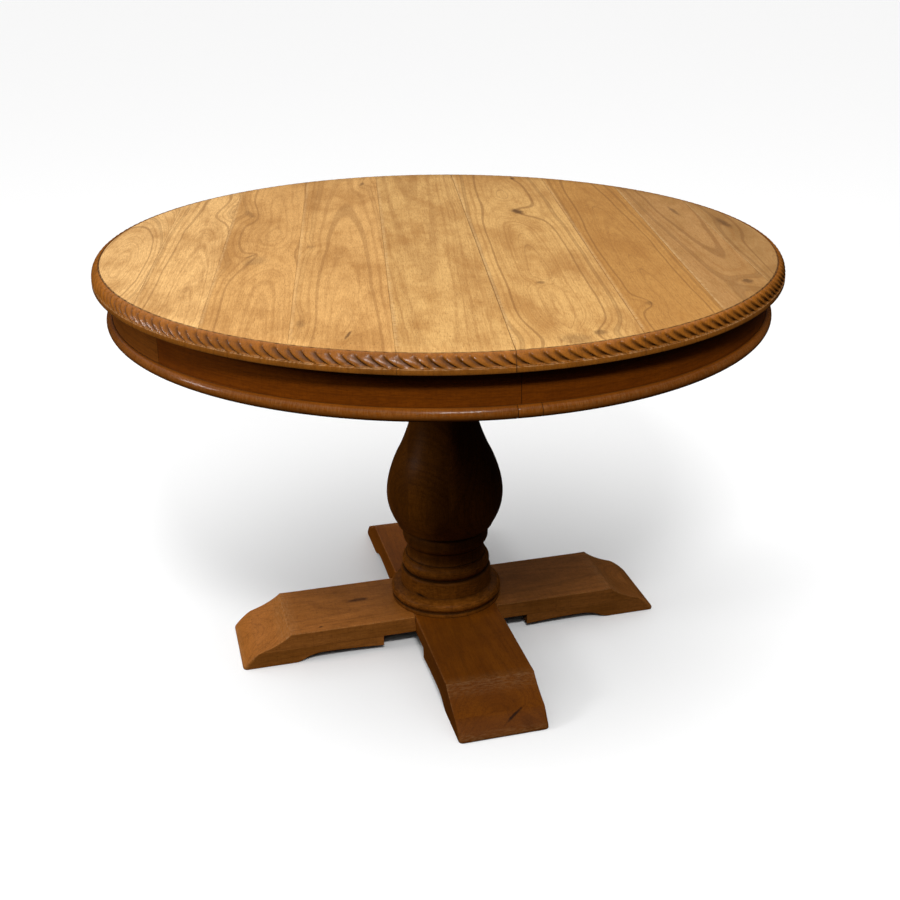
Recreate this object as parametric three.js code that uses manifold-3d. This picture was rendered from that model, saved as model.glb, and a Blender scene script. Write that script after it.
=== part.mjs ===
// Round pedestal dining table: a boarded top with a carved rope edge, a curved apron with a
// half-round bead, a turned column and a half-lapped cross base on four glued foot pads.
// Millimetres, +Z up, the floor at z = 0 and the column's axis at x = y = 0.
// The front is -Y and the right-hand side is +X. Touching pieces keep GAP between them.

import * as THREE from "three";
import { mergeVertices } from "three/addons/utils/BufferGeometryUtils.js";
import Module from "manifold-3d";

const wasm = await Module();
wasm.setup();

// ---- driving dimensions ----

const GAP = 0.3;
const TABLE_HEIGHT = 770;
const TOP_RADIUS = 600;
const TOP_THICKNESS = 29;
const RING_STEPS = 120;

// Carved rope edge: a convex roll outside a fine groove, above a plain strip.
const ROPE_INNER_RADIUS = 586.5;
const ROPE_BOTTOM = TABLE_HEIGHT - 19;
const ROPE_STEPS = 4;
const GROOVE_WIDTH = 2.4;
const GROOVE_DEPTH = 1.2;

// Boards of the top: joints measured square to the boards, which run front to back.
const BOARD_TURN = THREE.MathUtils.degToRad(3.8);
const BOARD_JOINTS = [-489, -381, -250.5, -103, 61, 252.5, 394, 507];

// Apron and bead under the top.
const APRON_OUTER_RADIUS = 573;
const APRON_THICKNESS = 22;
const APRON_BOTTOM = 664;
const APRON_SEGMENTS = 6;
const APRON_FIRST_JOINT = 11;
const ARC_STEPS = 20;
const BEAD_RADIUS = 10.4;
const BEAD_STEPS = 4;
const BEAD_BOTTOM = 663.4;
const BEAD_JOINTS = [13.9, 131, 251, 370.33];

// Glue blocks behind the apron joints.
const BLOCK_WIDTH = 64;
const BLOCK_DEPTH = 30;
const BLOCK_HEIGHT = 60;

// Battens and crossed bearers under the boards.
const BATTEN_OFFSET = 320;
const BATTEN_WIDTH = 70;
const BATTEN_THICKNESS = 25;
const BATTEN_LENGTH = 720;
const BEARER_WIDTH = 110;
const BEARER_THICKNESS = 40;
const LONG_BEARER_LENGTH = 1010;
const SHORT_BEARER_LENGTH = 560;
const PLATE_SIDE = 260;
const PLATE_THICKNESS = 28;

// Cross base.
const BASE_TURN = THREE.MathUtils.degToRad(13.85);
const BEAM_WIDTH = 163;
const BEAM_BOTTOM = 31;
const BEAM_TOP = 62.4;
const FOOT_REACH = 413;
const PAD_START = 144;

// Fixings.
const ROD_RADIUS = 6;
const ROD_HOLE_RADIUS = 6.6;
const ROD_END = 4;
const NUT_RADIUS = 10.4;
const NUT_HEIGHT = 10;
const WASHER_RADIUS = 18;
const WASHER_THICKNESS = 2.5;
const DOWEL_RADIUS = 6;
const DOWEL_OFFSET = 62;
const DOWEL_LENGTH = 50;
const SCREW_RADIUS = 2.5;
const SCREW_HEAD_RADIUS = 5;
const SCREW_HEAD_HEIGHT = 3;
const SCREW_BITE = 16;
const SCREW_HEAD_DEPTH = 4;
const BEARER_HEAD_DEPTH = 16;
const BATTEN_SCREW_X = [-300, 0, 300];
const LAG_RADIUS = 4;
const LAG_HEAD_RADIUS = 7.5;
const LAG_HEAD_HEIGHT = 5.5;
const LAG_OFFSET = 100;
const HOLE_CLEARANCE = 0.5;
const ROUND_SIDES = 12;
const SCREW_SIDES = 8;
const COLUMN_STEPS = 36;

// Heights that follow from the sizes above.
const TOP_UNDERSIDE = TABLE_HEIGHT - TOP_THICKNESS;
const FRAME_TOP = TOP_UNDERSIDE - GAP;
const BEARER_BOTTOM = FRAME_TOP - BEARER_THICKNESS;
const PLATE_TOP = BEARER_BOTTOM - GAP;
const PLATE_BOTTOM = PLATE_TOP - PLATE_THICKNESS;
const COLUMN_TOP = PLATE_BOTTOM - GAP;
const COLUMN_BOTTOM = BEAM_TOP + GAP;

// ---- finishes ----

const FINISHES = {
  sandedTop: { color: 0xd4a165, roughness: 0.5, metalness: 0 },
  stainedWood: { color: 0x7a4419, roughness: 0.42, metalness: 0 },
  rawWood: { color: 0xb98d5c, roughness: 0.75, metalness: 0 },
  steel: { color: 0x9a9a98, roughness: 0.4, metalness: 1 },
};

// ---- geometry helpers ----

// A closed three.js geometry as a solid that can be cut and joined.
function solid(geometry) {
  const bare = geometry.index ? geometry.toNonIndexed() : geometry.clone();
  bare.deleteAttribute("normal");
  bare.deleteAttribute("uv");
  const merged = mergeVertices(bare, 1e-3);
  return new wasm.Manifold(
    new wasm.Mesh({
      numProp: 3,
      vertProperties: merged.attributes.position.array,
      triVerts: new Uint32Array(merged.index.array),
    }),
  );
}

// The geometry of a solid.
function geometryOf(body) {
  const mesh = body.getMesh();
  const geometry = new THREE.BufferGeometry();
  geometry.setAttribute("position", new THREE.BufferAttribute(mesh.vertProperties, 3));
  geometry.setIndex(new THREE.BufferAttribute(mesh.triVerts, 1));
  return geometry;
}

// A named mesh with a material of its own.
function piece(name, body, finish) {
  const mesh = new THREE.Mesh(geometryOf(body), new THREE.MeshStandardMaterial(FINISHES[finish]));
  mesh.name = name;
  return mesh;
}

// A block from its two opposite corners.
function block(x0, y0, z0, x1, y1, z1) {
  const geometry = new THREE.BoxGeometry(x1 - x0, y1 - y0, z1 - z0);
  geometry.translate((x0 + x1) / 2, (y0 + y1) / 2, (z0 + z1) / 2);
  return solid(geometry);
}

// An upright cylinder, or a prism when it has few sides.
function rod(radius, x, y, z0, z1, sides = ROUND_SIDES) {
  const geometry = new THREE.CylinderGeometry(radius, radius, z1 - z0, sides);
  geometry.rotateX(Math.PI / 2);
  geometry.translate(x, y, (z0 + z1) / 2);
  return solid(geometry);
}

// A body turned about the Z axis from a closed list of [radius, height] points.
function turned(profile, steps) {
  const points = profile.map(([radius, height]) => new THREE.Vector2(radius, height));
  const geometry = new THREE.LatheGeometry(points, steps);
  geometry.rotateX(Math.PI / 2);
  return solid(geometry);
}

// Points of an arc in the plane, from one angle to another in degrees.
function arc(cx, cy, rx, ry, from, to, steps) {
  return Array.from({ length: steps + 1 }, (_, i) => {
    const angle = THREE.MathUtils.degToRad(from + ((to - from) * i) / steps);
    return [cx + rx * Math.cos(angle), cy + ry * Math.sin(angle)];
  });
}

// Angle of a direction that is `azimuth` degrees round from the front towards the right.
function planAngle(azimuth) {
  return THREE.MathUtils.degToRad(azimuth - 90);
}

// A curved bar between two azimuths, with a square section.
function curvedBar(inner, outer, z0, z1, fromAzimuth, toAzimuth, steps) {
  const half = GAP / 2 / outer;
  const from = planAngle(fromAzimuth) + half;
  const to = planAngle(toAzimuth) - half;
  const shape = new THREE.Shape();
  shape.absarc(0, 0, outer, from, to, false);
  shape.absarc(0, 0, inner, to, from, true);
  shape.closePath();
  const geometry = new THREE.ExtrudeGeometry(shape, {
    depth: z1 - z0,
    bevelEnabled: false,
    curveSegments: steps,
  });
  geometry.translate(0, 0, z0);
  return solid(geometry);
}

// ---- top ----

// The whole top as a turned disc: flat face, fine groove, rope roll, plain strip.
function topDisc() {
  const ropeWidth = TOP_RADIUS - ROPE_INNER_RADIUS;
  const ropeHeight = TABLE_HEIGHT - ROPE_BOTTOM;
  const grooveOuter = ROPE_INNER_RADIUS + GROOVE_WIDTH / 2;
  const roll = arc(
    TOP_RADIUS - ropeWidth,
    ROPE_BOTTOM,
    ropeWidth,
    ropeHeight,
    0,
    78,
    ROPE_STEPS,
  );
  return turned(
    [
      [0, TOP_UNDERSIDE],
      [TOP_RADIUS, TOP_UNDERSIDE],
      ...roll,
      [grooveOuter, TABLE_HEIGHT - GROOVE_DEPTH],
      [ROPE_INNER_RADIUS - GROOVE_WIDTH / 2, TABLE_HEIGHT],
      [0, TABLE_HEIGHT],
    ],
    RING_STEPS,
  );
}

// One board: the part of the disc between two joints.
function board(disc, from, to) {
  const slab = new THREE.BoxGeometry(to - from - GAP, 3 * TOP_RADIUS, 3 * TOP_THICKNESS);
  slab.translate((from + to) / 2, 0, TABLE_HEIGHT - TOP_THICKNESS / 2);
  slab.rotateZ(BOARD_TURN);
  return disc.intersect(solid(slab));
}

// ---- apron and bead ----

function apronSegment(index) {
  const step = 360 / APRON_SEGMENTS;
  const from = APRON_FIRST_JOINT + index * step;
  const inner = APRON_OUTER_RADIUS - APRON_THICKNESS;
  return curvedBar(inner, APRON_OUTER_RADIUS, APRON_BOTTOM, FRAME_TOP, from, from + step, ARC_STEPS);
}

// The half-round section of the bead, turned into a whole ring.
function beadRing() {
  const inner = APRON_OUTER_RADIUS + GAP;
  const middle = BEAD_BOTTOM + BEAD_RADIUS;
  const round = arc(inner, middle, BEAD_RADIUS, BEAD_RADIUS, -90, 90, BEAD_STEPS);
  return turned([...round, round[0]], RING_STEPS);
}

// The part of the bead ring between two azimuths.
function beadStrip(ring, from, to) {
  const inner = APRON_OUTER_RADIUS - BEAD_RADIUS;
  const outer = APRON_OUTER_RADIUS + 3 * BEAD_RADIUS;
  const top = BEAD_BOTTOM + 3 * BEAD_RADIUS;
  return ring.intersect(curvedBar(inner, outer, BEAD_BOTTOM - BEAD_RADIUS, top, from, to, ARC_STEPS));
}

// A glue block with a curved back that fits the apron, centred on a joint.
function glueBlock(azimuth) {
  const outer = APRON_OUTER_RADIUS - APRON_THICKNESS - GAP;
  const half = Math.asin(BLOCK_WIDTH / 2 / outer);
  const shape = new THREE.Shape();
  shape.absarc(0, 0, outer, -half, half, false);
  shape.lineTo(outer - BLOCK_DEPTH, BLOCK_WIDTH / 2);
  shape.lineTo(outer - BLOCK_DEPTH, -BLOCK_WIDTH / 2);
  shape.closePath();
  const geometry = new THREE.ExtrudeGeometry(shape, {
    depth: BLOCK_HEIGHT,
    bevelEnabled: false,
    curveSegments: 4,
  });
  geometry.translate(0, 0, FRAME_TOP - BLOCK_HEIGHT);
  geometry.rotateZ(planAngle(azimuth));
  return solid(geometry);
}

// ---- fixings ----

// A slotted round-head screw driven upwards, its head at z.
function woodScrew({ x, y, z, top }) {
  const shank = rod(SCREW_RADIUS, x, y, z + 1, top, SCREW_SIDES);
  const head = rod(SCREW_HEAD_RADIUS, x, y, z, z + SCREW_HEAD_HEIGHT, SCREW_SIDES);
  const slot = block(x - SCREW_HEAD_RADIUS, y - 0.6, z - 1, x + SCREW_HEAD_RADIUS, y + 0.6, z + 1.4);
  return head.add(shank).subtract(slot);
}

// The stepped hole that a screw needs: room for the head below, for the shank above.
function screwHole({ x, y, z, top, from }) {
  const shaft = rod(SCREW_RADIUS + HOLE_CLEARANCE, x, y, z, top + 1, SCREW_SIDES);
  const mouth = rod(
    SCREW_HEAD_RADIUS + 1,
    x,
    y,
    from - 1,
    z + SCREW_HEAD_HEIGHT + GAP,
    SCREW_SIDES,
  );
  return shaft.add(mouth);
}

// A hexagon-head coach screw driven upwards, its head hanging under z.
function coachScrew({ x, y, z, top }) {
  const head = rod(LAG_HEAD_RADIUS, x, y, z - LAG_HEAD_HEIGHT, z, 6);
  return head.add(rod(LAG_RADIUS, x, y, z - 1, top, SCREW_SIDES));
}

function hexNut(z) {
  const hole = rod(ROD_RADIUS + GAP, 0, 0, z - 1, z + NUT_HEIGHT + 1);
  return rod(NUT_RADIUS, 0, 0, z, z + NUT_HEIGHT, 6).subtract(hole);
}

function washer(z) {
  const hole = rod(ROD_HOLE_RADIUS, 0, 0, z - 1, z + WASHER_THICKNESS + 1);
  return rod(WASHER_RADIUS, 0, 0, z, z + WASHER_THICKNESS, 16).subtract(hole);
}

const SCREW_TOP = TOP_UNDERSIDE + SCREW_BITE;
const battenBottom = FRAME_TOP - BATTEN_THICKNESS;
const battenScrews = [-1, 1].flatMap((side) =>
  BATTEN_SCREW_X.map((x) => ({
    x,
    y: side * BATTEN_OFFSET,
    z: battenBottom + SCREW_HEAD_DEPTH,
    top: SCREW_TOP,
    from: battenBottom,
  })),
);
const bearerScrews = [
  [-420, 0],
  [420, 0],
  [0, -230],
  [0, 230],
].map(([x, y]) => ({
  x,
  y,
  z: BEARER_BOTTOM + BEARER_HEAD_DEPTH,
  top: SCREW_TOP,
  from: BEARER_BOTTOM,
}));
const lagScrews = [
  [-LAG_OFFSET, 0],
  [LAG_OFFSET, 0],
  [0, -LAG_OFFSET],
  [0, LAG_OFFSET],
].map(([x, y]) => ({ x, y, z: PLATE_BOTTOM - GAP, top: BEARER_BOTTOM + 25 }));

// ---- frame under the top ----

// Cuts a list of bodies out of another one.
function cut(body, cutters) {
  return cutters.reduce((rest, cutter) => rest.subtract(cutter), body);
}

function lagHole({ x, y, top }) {
  return rod(LAG_RADIUS + HOLE_CLEARANCE, x, y, PLATE_BOTTOM - 1, top + 2, SCREW_SIDES);
}

function batten(side) {
  const y = side * BATTEN_OFFSET;
  const body = block(
    -BATTEN_LENGTH / 2,
    y - BATTEN_WIDTH / 2,
    battenBottom,
    BATTEN_LENGTH / 2,
    y + BATTEN_WIDTH / 2,
    FRAME_TOP,
  );
  return cut(body, battenScrews.filter((screw) => screw.y === y).map(screwHole));
}

// The two bearers are halved into each other, with a well for the rod's top nut.
const bearerLap = BEARER_BOTTOM + BEARER_THICKNESS / 2;
const nutWell = rod(WASHER_RADIUS + 4, 0, 0, BEARER_BOTTOM - 1, FRAME_TOP + 1, 16);

function longBearer() {
  const half = BEARER_WIDTH / 2 + GAP;
  const body = block(
    -LONG_BEARER_LENGTH / 2,
    -BEARER_WIDTH / 2,
    BEARER_BOTTOM,
    LONG_BEARER_LENGTH / 2,
    BEARER_WIDTH / 2,
    FRAME_TOP,
  );
  const notch = block(-half, -BEARER_WIDTH, bearerLap, half, BEARER_WIDTH, FRAME_TOP + 1);
  return cut(body, [notch, nutWell, ...bearerScrews.map(screwHole), ...lagScrews.map(lagHole)]);
}

function shortBearer() {
  const half = BEARER_WIDTH / 2 + GAP;
  const body = block(
    -BEARER_WIDTH / 2,
    -SHORT_BEARER_LENGTH / 2,
    BEARER_BOTTOM,
    BEARER_WIDTH / 2,
    SHORT_BEARER_LENGTH / 2,
    FRAME_TOP,
  );
  const under = BEARER_BOTTOM - 1;
  const notch = block(-BEARER_WIDTH, -half, under, BEARER_WIDTH, half, bearerLap + GAP);
  return cut(body, [notch, nutWell, ...bearerScrews.map(screwHole), ...lagScrews.map(lagHole)]);
}

function topPlate() {
  const half = PLATE_SIDE / 2;
  const body = block(-half, -half, PLATE_BOTTOM, half, half, PLATE_TOP);
  const rodHole = rod(ROD_HOLE_RADIUS, 0, 0, PLATE_BOTTOM - 1, PLATE_TOP + 1);
  return cut(body, [rodHole, ...lagScrews.map(lagHole)]);
}

// ---- column ----

// The turned outline from the foot up: torus and band mouldings, a cove, a pear-shaped
// bulb, a slender neck, and a collar under the top plate.
function columnOutline() {
  const foot = [
    [106.5, COLUMN_BOTTOM],
    [106.5, 69.5],
    [104, 71],
    ...arc(98.5, 81, 9.5, 9.5, -50, 80, 4),
    [92, 92.4],
    [88, 94],
    [87.8, 121],
    [85.8, 125.4],
    [81.5, 127],
    ...arc(74, 140.5, 11.5, 14, -62, 62, 4),
    [77.6, 157],
    [75.6, 160],
    [74.4, 169],
    [76, 179],
    [79.6, 186],
    [82.6, 193],
    [82.7, 205],
    [80, 215],
  ];
  const bulb = [
    [81.5, 219],
    [91, 221.6],
    [92.8, 224],
    [102, 242.4],
    [108.3, 260.4],
    [111.5, 285],
    [109.3, 309],
    [105.5, 325.5],
    [99.7, 344],
    [92.3, 362.5],
    [81.9, 384],
    [69.3, 417.3],
  ];
  const neck = [
    [60, 455],
    [57, 490],
    [58, 525],
    [64, 562],
  ];
  const collar = [
    ...arc(64, 573, 10, 9, -60, 75, 3),
    [66, 584],
    [70, 600],
    [80, 618],
    [84, 634],
    [84, COLUMN_TOP],
  ];
  return [...foot, ...bulb, ...neck, ...collar];
}

function column() {
  const outline = columnOutline();
  const bore = [
    [ROD_HOLE_RADIUS, COLUMN_TOP],
    [ROD_HOLE_RADIUS, COLUMN_BOTTOM],
  ];
  return cut(turned([...outline, ...bore, outline[0]], COLUMN_STEPS), dowelHoles());
}

// ---- cross base (worked out along X and Y, then turned as a whole) ----

const dowelBottom = BEAM_TOP - DOWEL_LENGTH / 2 + 3;

function dowel(side) {
  return rod(DOWEL_RADIUS, 0, side * DOWEL_OFFSET, dowelBottom, dowelBottom + DOWEL_LENGTH);
}

function dowelHoles() {
  return [-1, 1].map((side) => {
    const hole = rod(
      DOWEL_RADIUS + HOLE_CLEARANCE,
      0,
      side * DOWEL_OFFSET,
      dowelBottom - 1,
      dowelBottom + DOWEL_LENGTH + 1,
    );
    return hole.rotate([0, 0, THREE.MathUtils.radToDeg(BASE_TURN)]);
  });
}

// Side view of one foot with the beam over it: flat top, ogee down to the blunt toe,
// sole, and the low arch behind the sole.
function footSide() {
  const side = new THREE.Shape();
  side.moveTo(PAD_START, BEAM_TOP);
  side.lineTo(PAD_START, 10);
  side.quadraticCurveTo(200, 14.5, 248, 15);
  side.lineTo(262, 15);
  side.quadraticCurveTo(281, 14, 295, 7);
  side.quadraticCurveTo(302, 2.5, 311, 0);
  side.lineTo(FOOT_REACH, 0);
  side.lineTo(FOOT_REACH, 5);
  side.quadraticCurveTo(392.2, 27.9, 378, 32.4);
  side.quadraticCurveTo(345.5, 42.8, 321, BEAM_TOP);
  side.closePath();
  const geometry = new THREE.ExtrudeGeometry(side, {
    depth: BEAM_WIDTH,
    bevelEnabled: false,
    curveSegments: 5,
  });
  geometry.rotateX(Math.PI / 2);
  geometry.translate(0, BEAM_WIDTH / 2, 0);
  return geometry;
}

const FOOT_TURNS = { right: 0, back: 90, left: 180, front: 270 };

function foot(direction) {
  const geometry = footSide();
  geometry.rotateZ(THREE.MathUtils.degToRad(FOOT_TURNS[direction]));
  return solid(geometry);
}

// The pad is what lies under the glue line.
function footPad(direction) {
  const reach = 2 * FOOT_REACH;
  return foot(direction).intersect(block(-reach, -reach, -10, reach, reach, BEAM_BOTTOM - GAP));
}

// A beam lies above the glue line and runs from toe to toe through the crossing.
function beam(directions, middle) {
  const reach = 2 * FOOT_REACH;
  const upper = block(-reach, -reach, BEAM_BOTTOM, reach, reach, BEAM_TOP + 1);
  return directions.reduce((body, direction) => body.add(foot(direction).intersect(upper)), middle);
}

const lapHeight = (BEAM_BOTTOM + BEAM_TOP) / 2;
const lapHalf = BEAM_WIDTH / 2 + GAP;
const rodThroughBase = rod(ROD_HOLE_RADIUS, 0, 0, 0, BEAM_TOP + 1);

// Holes of the dowels in the base's own frame.
function baseDowelHoles() {
  return [-1, 1].map((side) =>
    rod(DOWEL_RADIUS + HOLE_CLEARANCE, 0, side * DOWEL_OFFSET, dowelBottom - 1, BEAM_TOP + 1),
  );
}

// Unbroken on top; its underside is halved over the other beam.
function frontBackBeam() {
  const half = BEAM_WIDTH / 2;
  const middle = block(-half, -PAD_START - 1, BEAM_BOTTOM, half, PAD_START + 1, BEAM_TOP);
  const notch = block(-BEAM_WIDTH, -lapHalf, 0, BEAM_WIDTH, lapHalf, lapHeight + GAP / 2);
  return cut(beam(["front", "back"], middle), [notch, rodThroughBase, ...baseDowelHoles()]);
}

function leftRightBeam() {
  const half = BEAM_WIDTH / 2;
  const middle = block(-PAD_START - 1, -half, BEAM_BOTTOM, PAD_START + 1, half, BEAM_TOP);
  const above = BEAM_TOP + 1;
  const notch = block(-lapHalf, -BEAM_WIDTH, lapHeight - GAP / 2, lapHalf, BEAM_WIDTH, above);
  return cut(beam(["left", "right"], middle), [notch, rodThroughBase, ...baseDowelHoles()]);
}

// ---- assembly ----

const table = new THREE.Group();

const top = new THREE.Group();
const disc = topDisc();
const boardEdges = [-2 * TOP_RADIUS, ...BOARD_JOINTS, 2 * TOP_RADIUS];
const topHoles = [...battenScrews, ...bearerScrews].map((screw) =>
  rod(SCREW_RADIUS + HOLE_CLEARANCE, screw.x, screw.y, TOP_UNDERSIDE - 1, screw.top + 1, SCREW_SIDES),
);
for (let i = 0; i + 1 < boardEdges.length; i += 1) {
  const body = cut(board(disc, boardEdges[i], boardEdges[i + 1]), topHoles);
  top.add(piece(`top_board_${i + 1}`, body, "sandedTop"));
}
table.add(top);

const skirt = new THREE.Group();
for (let i = 0; i < APRON_SEGMENTS; i += 1) {
  skirt.add(piece(`apron_segment_${i + 1}`, apronSegment(i), "stainedWood"));
  const joint = APRON_FIRST_JOINT + (i * 360) / APRON_SEGMENTS;
  skirt.add(piece(`glue_block_${i + 1}`, glueBlock(joint), "rawWood"));
}
const ring = beadRing();
for (let i = 0; i + 1 < BEAD_JOINTS.length; i += 1) {
  const strip = beadStrip(ring, BEAD_JOINTS[i], BEAD_JOINTS[i + 1]);
  skirt.add(piece(`bead_strip_${i + 1}`, strip, "stainedWood"));
}
const fillerStart = BEAD_JOINTS[BEAD_JOINTS.length - 1] - 360;
skirt.add(piece("bead_filler", beadStrip(ring, fillerStart, BEAD_JOINTS[0]), "stainedWood"));
table.add(skirt);

const frame = new THREE.Group();
frame.add(piece("front_batten", batten(-1), "rawWood"));
frame.add(piece("back_batten", batten(1), "rawWood"));
frame.add(piece("long_bearer", longBearer(), "rawWood"));
frame.add(piece("short_bearer", shortBearer(), "rawWood"));
frame.add(piece("top_plate", topPlate(), "rawWood"));
battenScrews.forEach((screw, i) => {
  frame.add(piece(`batten_screw_${i + 1}`, woodScrew(screw), "steel"));
});
bearerScrews.forEach((screw, i) => {
  frame.add(piece(`bearer_screw_${i + 1}`, woodScrew(screw), "steel"));
});
lagScrews.forEach((screw, i) => {
  frame.add(piece(`coach_screw_${i + 1}`, coachScrew(screw), "steel"));
});
table.add(frame);

const pedestal = new THREE.Group();
const lowerWasher = BEAM_BOTTOM - GAP - WASHER_THICKNESS;
const lowerNut = lowerWasher - GAP - NUT_HEIGHT;
const upperWasher = PLATE_TOP + GAP;
const upperNut = upperWasher + WASHER_THICKNESS + GAP;
pedestal.add(piece("turned_column", column(), "stainedWood"));
pedestal.add(piece("lower_washer", washer(lowerWasher), "steel"));
pedestal.add(piece("lower_nut", hexNut(lowerNut), "steel"));
pedestal.add(piece("upper_washer", washer(upperWasher), "steel"));
pedestal.add(piece("upper_nut", hexNut(upperNut), "steel"));
const rodTop = upperNut + NUT_HEIGHT + ROD_END;
pedestal.add(piece("tie_rod", rod(ROD_RADIUS, 0, 0, lowerNut - ROD_END, rodTop), "steel"));
table.add(pedestal);

const base = new THREE.Group();
base.rotation.z = BASE_TURN;
base.add(piece("front_back_beam", frontBackBeam(), "stainedWood"));
base.add(piece("left_right_beam", leftRightBeam(), "stainedWood"));
for (const direction of Object.keys(FOOT_TURNS)) {
  base.add(piece(`${direction}_foot_pad`, footPad(direction), "stainedWood"));
}
base.add(piece("front_dowel", dowel(-1), "rawWood"));
base.add(piece("back_dowel", dowel(1), "rawWood"));
table.add(base);

export default table;
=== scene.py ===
"""Round pedestal dining table with a carved rope edge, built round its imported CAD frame.

Every class below is one sub-assembly of the table, from the boarded top down to the cross
base. Sizes are in millimetres in the class fields and become metres when a mesh is made.
The front of the table is -Y, its right-hand side is +X and the floor is at z = 0.
"""

import logging
import math
from dataclasses import dataclass, replace
from enum import Enum, IntEnum

import bmesh
import bpy
import numpy as np
from mathutils import Matrix, Vector
from mathutils.geometry import delaunay_2d_cdt


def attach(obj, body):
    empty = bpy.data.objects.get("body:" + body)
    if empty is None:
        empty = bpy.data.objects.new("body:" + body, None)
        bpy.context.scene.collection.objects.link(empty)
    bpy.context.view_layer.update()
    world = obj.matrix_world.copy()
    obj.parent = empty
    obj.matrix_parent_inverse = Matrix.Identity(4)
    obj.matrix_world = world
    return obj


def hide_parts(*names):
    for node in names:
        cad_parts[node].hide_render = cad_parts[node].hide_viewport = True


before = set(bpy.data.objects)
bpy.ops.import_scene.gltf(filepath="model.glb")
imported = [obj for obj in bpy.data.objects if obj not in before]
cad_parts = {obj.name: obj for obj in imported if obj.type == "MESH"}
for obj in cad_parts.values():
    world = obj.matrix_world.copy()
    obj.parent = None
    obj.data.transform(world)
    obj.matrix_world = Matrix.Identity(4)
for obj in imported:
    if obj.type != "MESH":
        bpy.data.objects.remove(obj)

log = logging.getLogger("table")

MM = 0.001
Array = np.ndarray
Material = bpy.types.Material
Socket = bpy.types.NodeSocket
Tree = bpy.types.NodeTree

# Settings of the nodes that do sums.
PLUS = {"operation": "ADD"}
MINUS = {"operation": "SUBTRACT"}
TIMES = {"operation": "MULTIPLY"}
TIMES_PLUS = {"operation": "MULTIPLY_ADD"}


# ---------------------------------------------------------------- helpers


def linear(hex_colour: str) -> tuple[float, float, float, float]:
    """Turns an sRGB hex colour into linear RGBA.

    Args:
        hex_colour: six hex digits.

    Returns:
        The linear colour with an alpha of one.
    """
    channels = [int(hex_colour[i : i + 2], 16) / 255 for i in (0, 2, 4)]
    bent = [c / 12.92 if c <= 0.04045 else ((c + 0.055) / 1.055) ** 2.4 for c in channels]
    return (bent[0], bent[1], bent[2], 1.0)


def add_node(
    tree: Tree, kind: str, settings: dict | None = None, inputs: dict | None = None
) -> bpy.types.Node:
    """Adds one node with its settings and links.

    Args:
        tree: the node tree that gets the node.
        kind: the node's type, such as "ShaderNodeMath".
        settings: properties of the node itself, by name.
        inputs: values or output sockets for the inputs, by name or index.

    Returns:
        The new node.
    """
    node = tree.nodes.new(kind)
    for name, value in (settings or {}).items():
        setattr(node, name, value)
    for key, value in (inputs or {}).items():
        if isinstance(value, Socket):
            tree.links.new(value, node.inputs[key])
        else:
            node.inputs[key].default_value = value
    return node


def new_material(name: str) -> tuple[Material, Tree, bpy.types.Node]:
    """Starts a material.

    Args:
        name: its name.

    Returns:
        The material, its node tree and its shader.
    """
    made = bpy.data.materials.new(name)
    made.use_nodes = True
    return made, made.node_tree, made.node_tree.nodes["Principled BSDF"]


def smooth_step(x: Array, low: float, high: float) -> Array:
    """Rises from 0 at low to 1 at high along 3t^2 - 2t^3."""
    t = np.clip((x - low) / (high - low), 0.0, 1.0)
    return t * t * (3 - 2 * t)


def bell(x: Array, middle: float, width: float) -> Array:
    """A bell exp(-t^2), where t is the distance from the middle in widths."""
    return np.exp(-(((x - middle) / width) ** 2))


def bells(x: Array, marks: tuple[tuple[float, float, float], ...]) -> Array:
    """The sum of a bell at each mark, given as (middle, width, height)."""
    return sum(height * bell(x, middle, width) for middle, width, height in marks)


def spline(points: list[tuple[float, float]], steps: int) -> Array:
    """A smooth curve through every point (cubic Hermite, tangents from the neighbours).

    Args:
        points: the (radius, height) points in order.
        steps: samples between two neighbouring points.

    Returns:
        An (n, 2) array that starts and ends on the first and last point.
    """
    p = np.array(points, float)
    tangent = np.gradient(p, axis=0)
    t = np.linspace(0, 1, steps, endpoint=False)[:, None, None]
    a, b, ta, tb = p[:-1], p[1:], tangent[:-1], tangent[1:]
    body = (
        (2 * t**3 - 3 * t**2 + 1) * a
        + (t**3 - 2 * t**2 + t) * ta
        + (3 * t**2 - 2 * t**3) * b
        + (t**3 - t**2) * tb
    )
    return np.vstack([body.transpose(1, 0, 2).reshape(-1, 2), p[-1:]])


def arc(cx: float, cy: float, rx: float, ry: float, start: float, end: float, n: int) -> Array:
    """Points of an elliptic arc: centre plus (rx cos a, ry sin a), a in degrees."""
    a = np.radians(np.linspace(start, end, n))
    return np.column_stack([cx + rx * np.cos(a), cy + ry * np.sin(a)])


def line(start: tuple[float, float], end: tuple[float, float], n: int) -> Array:
    """Evenly spaced points from start to end, both included."""
    return np.linspace(start, end, n)


def bezier(a: tuple, b: tuple, c: tuple, n: int) -> Array:
    """A quadratic curve from a to c that leaves and arrives towards b."""
    t = np.linspace(0, 1, n)[:, None]
    return (1 - t) ** 2 * np.array(a) + 2 * t * (1 - t) * np.array(b) + t**2 * np.array(c)


def turned(points: Array, degrees: float) -> Array:
    """Points turned about the Z axis to (x cos t - y sin t, x sin t + y cos t, z).

    Args:
        points: places whose last axis is x, y, z.
        degrees: the turn t, anticlockwise from above.

    Returns:
        The turned places.
    """
    t = math.radians(degrees)
    x, y, z = np.moveaxis(points, -1, 0)
    return np.stack([x * math.cos(t) - y * math.sin(t), x * math.sin(t) + y * math.cos(t), z], -1)


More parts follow.
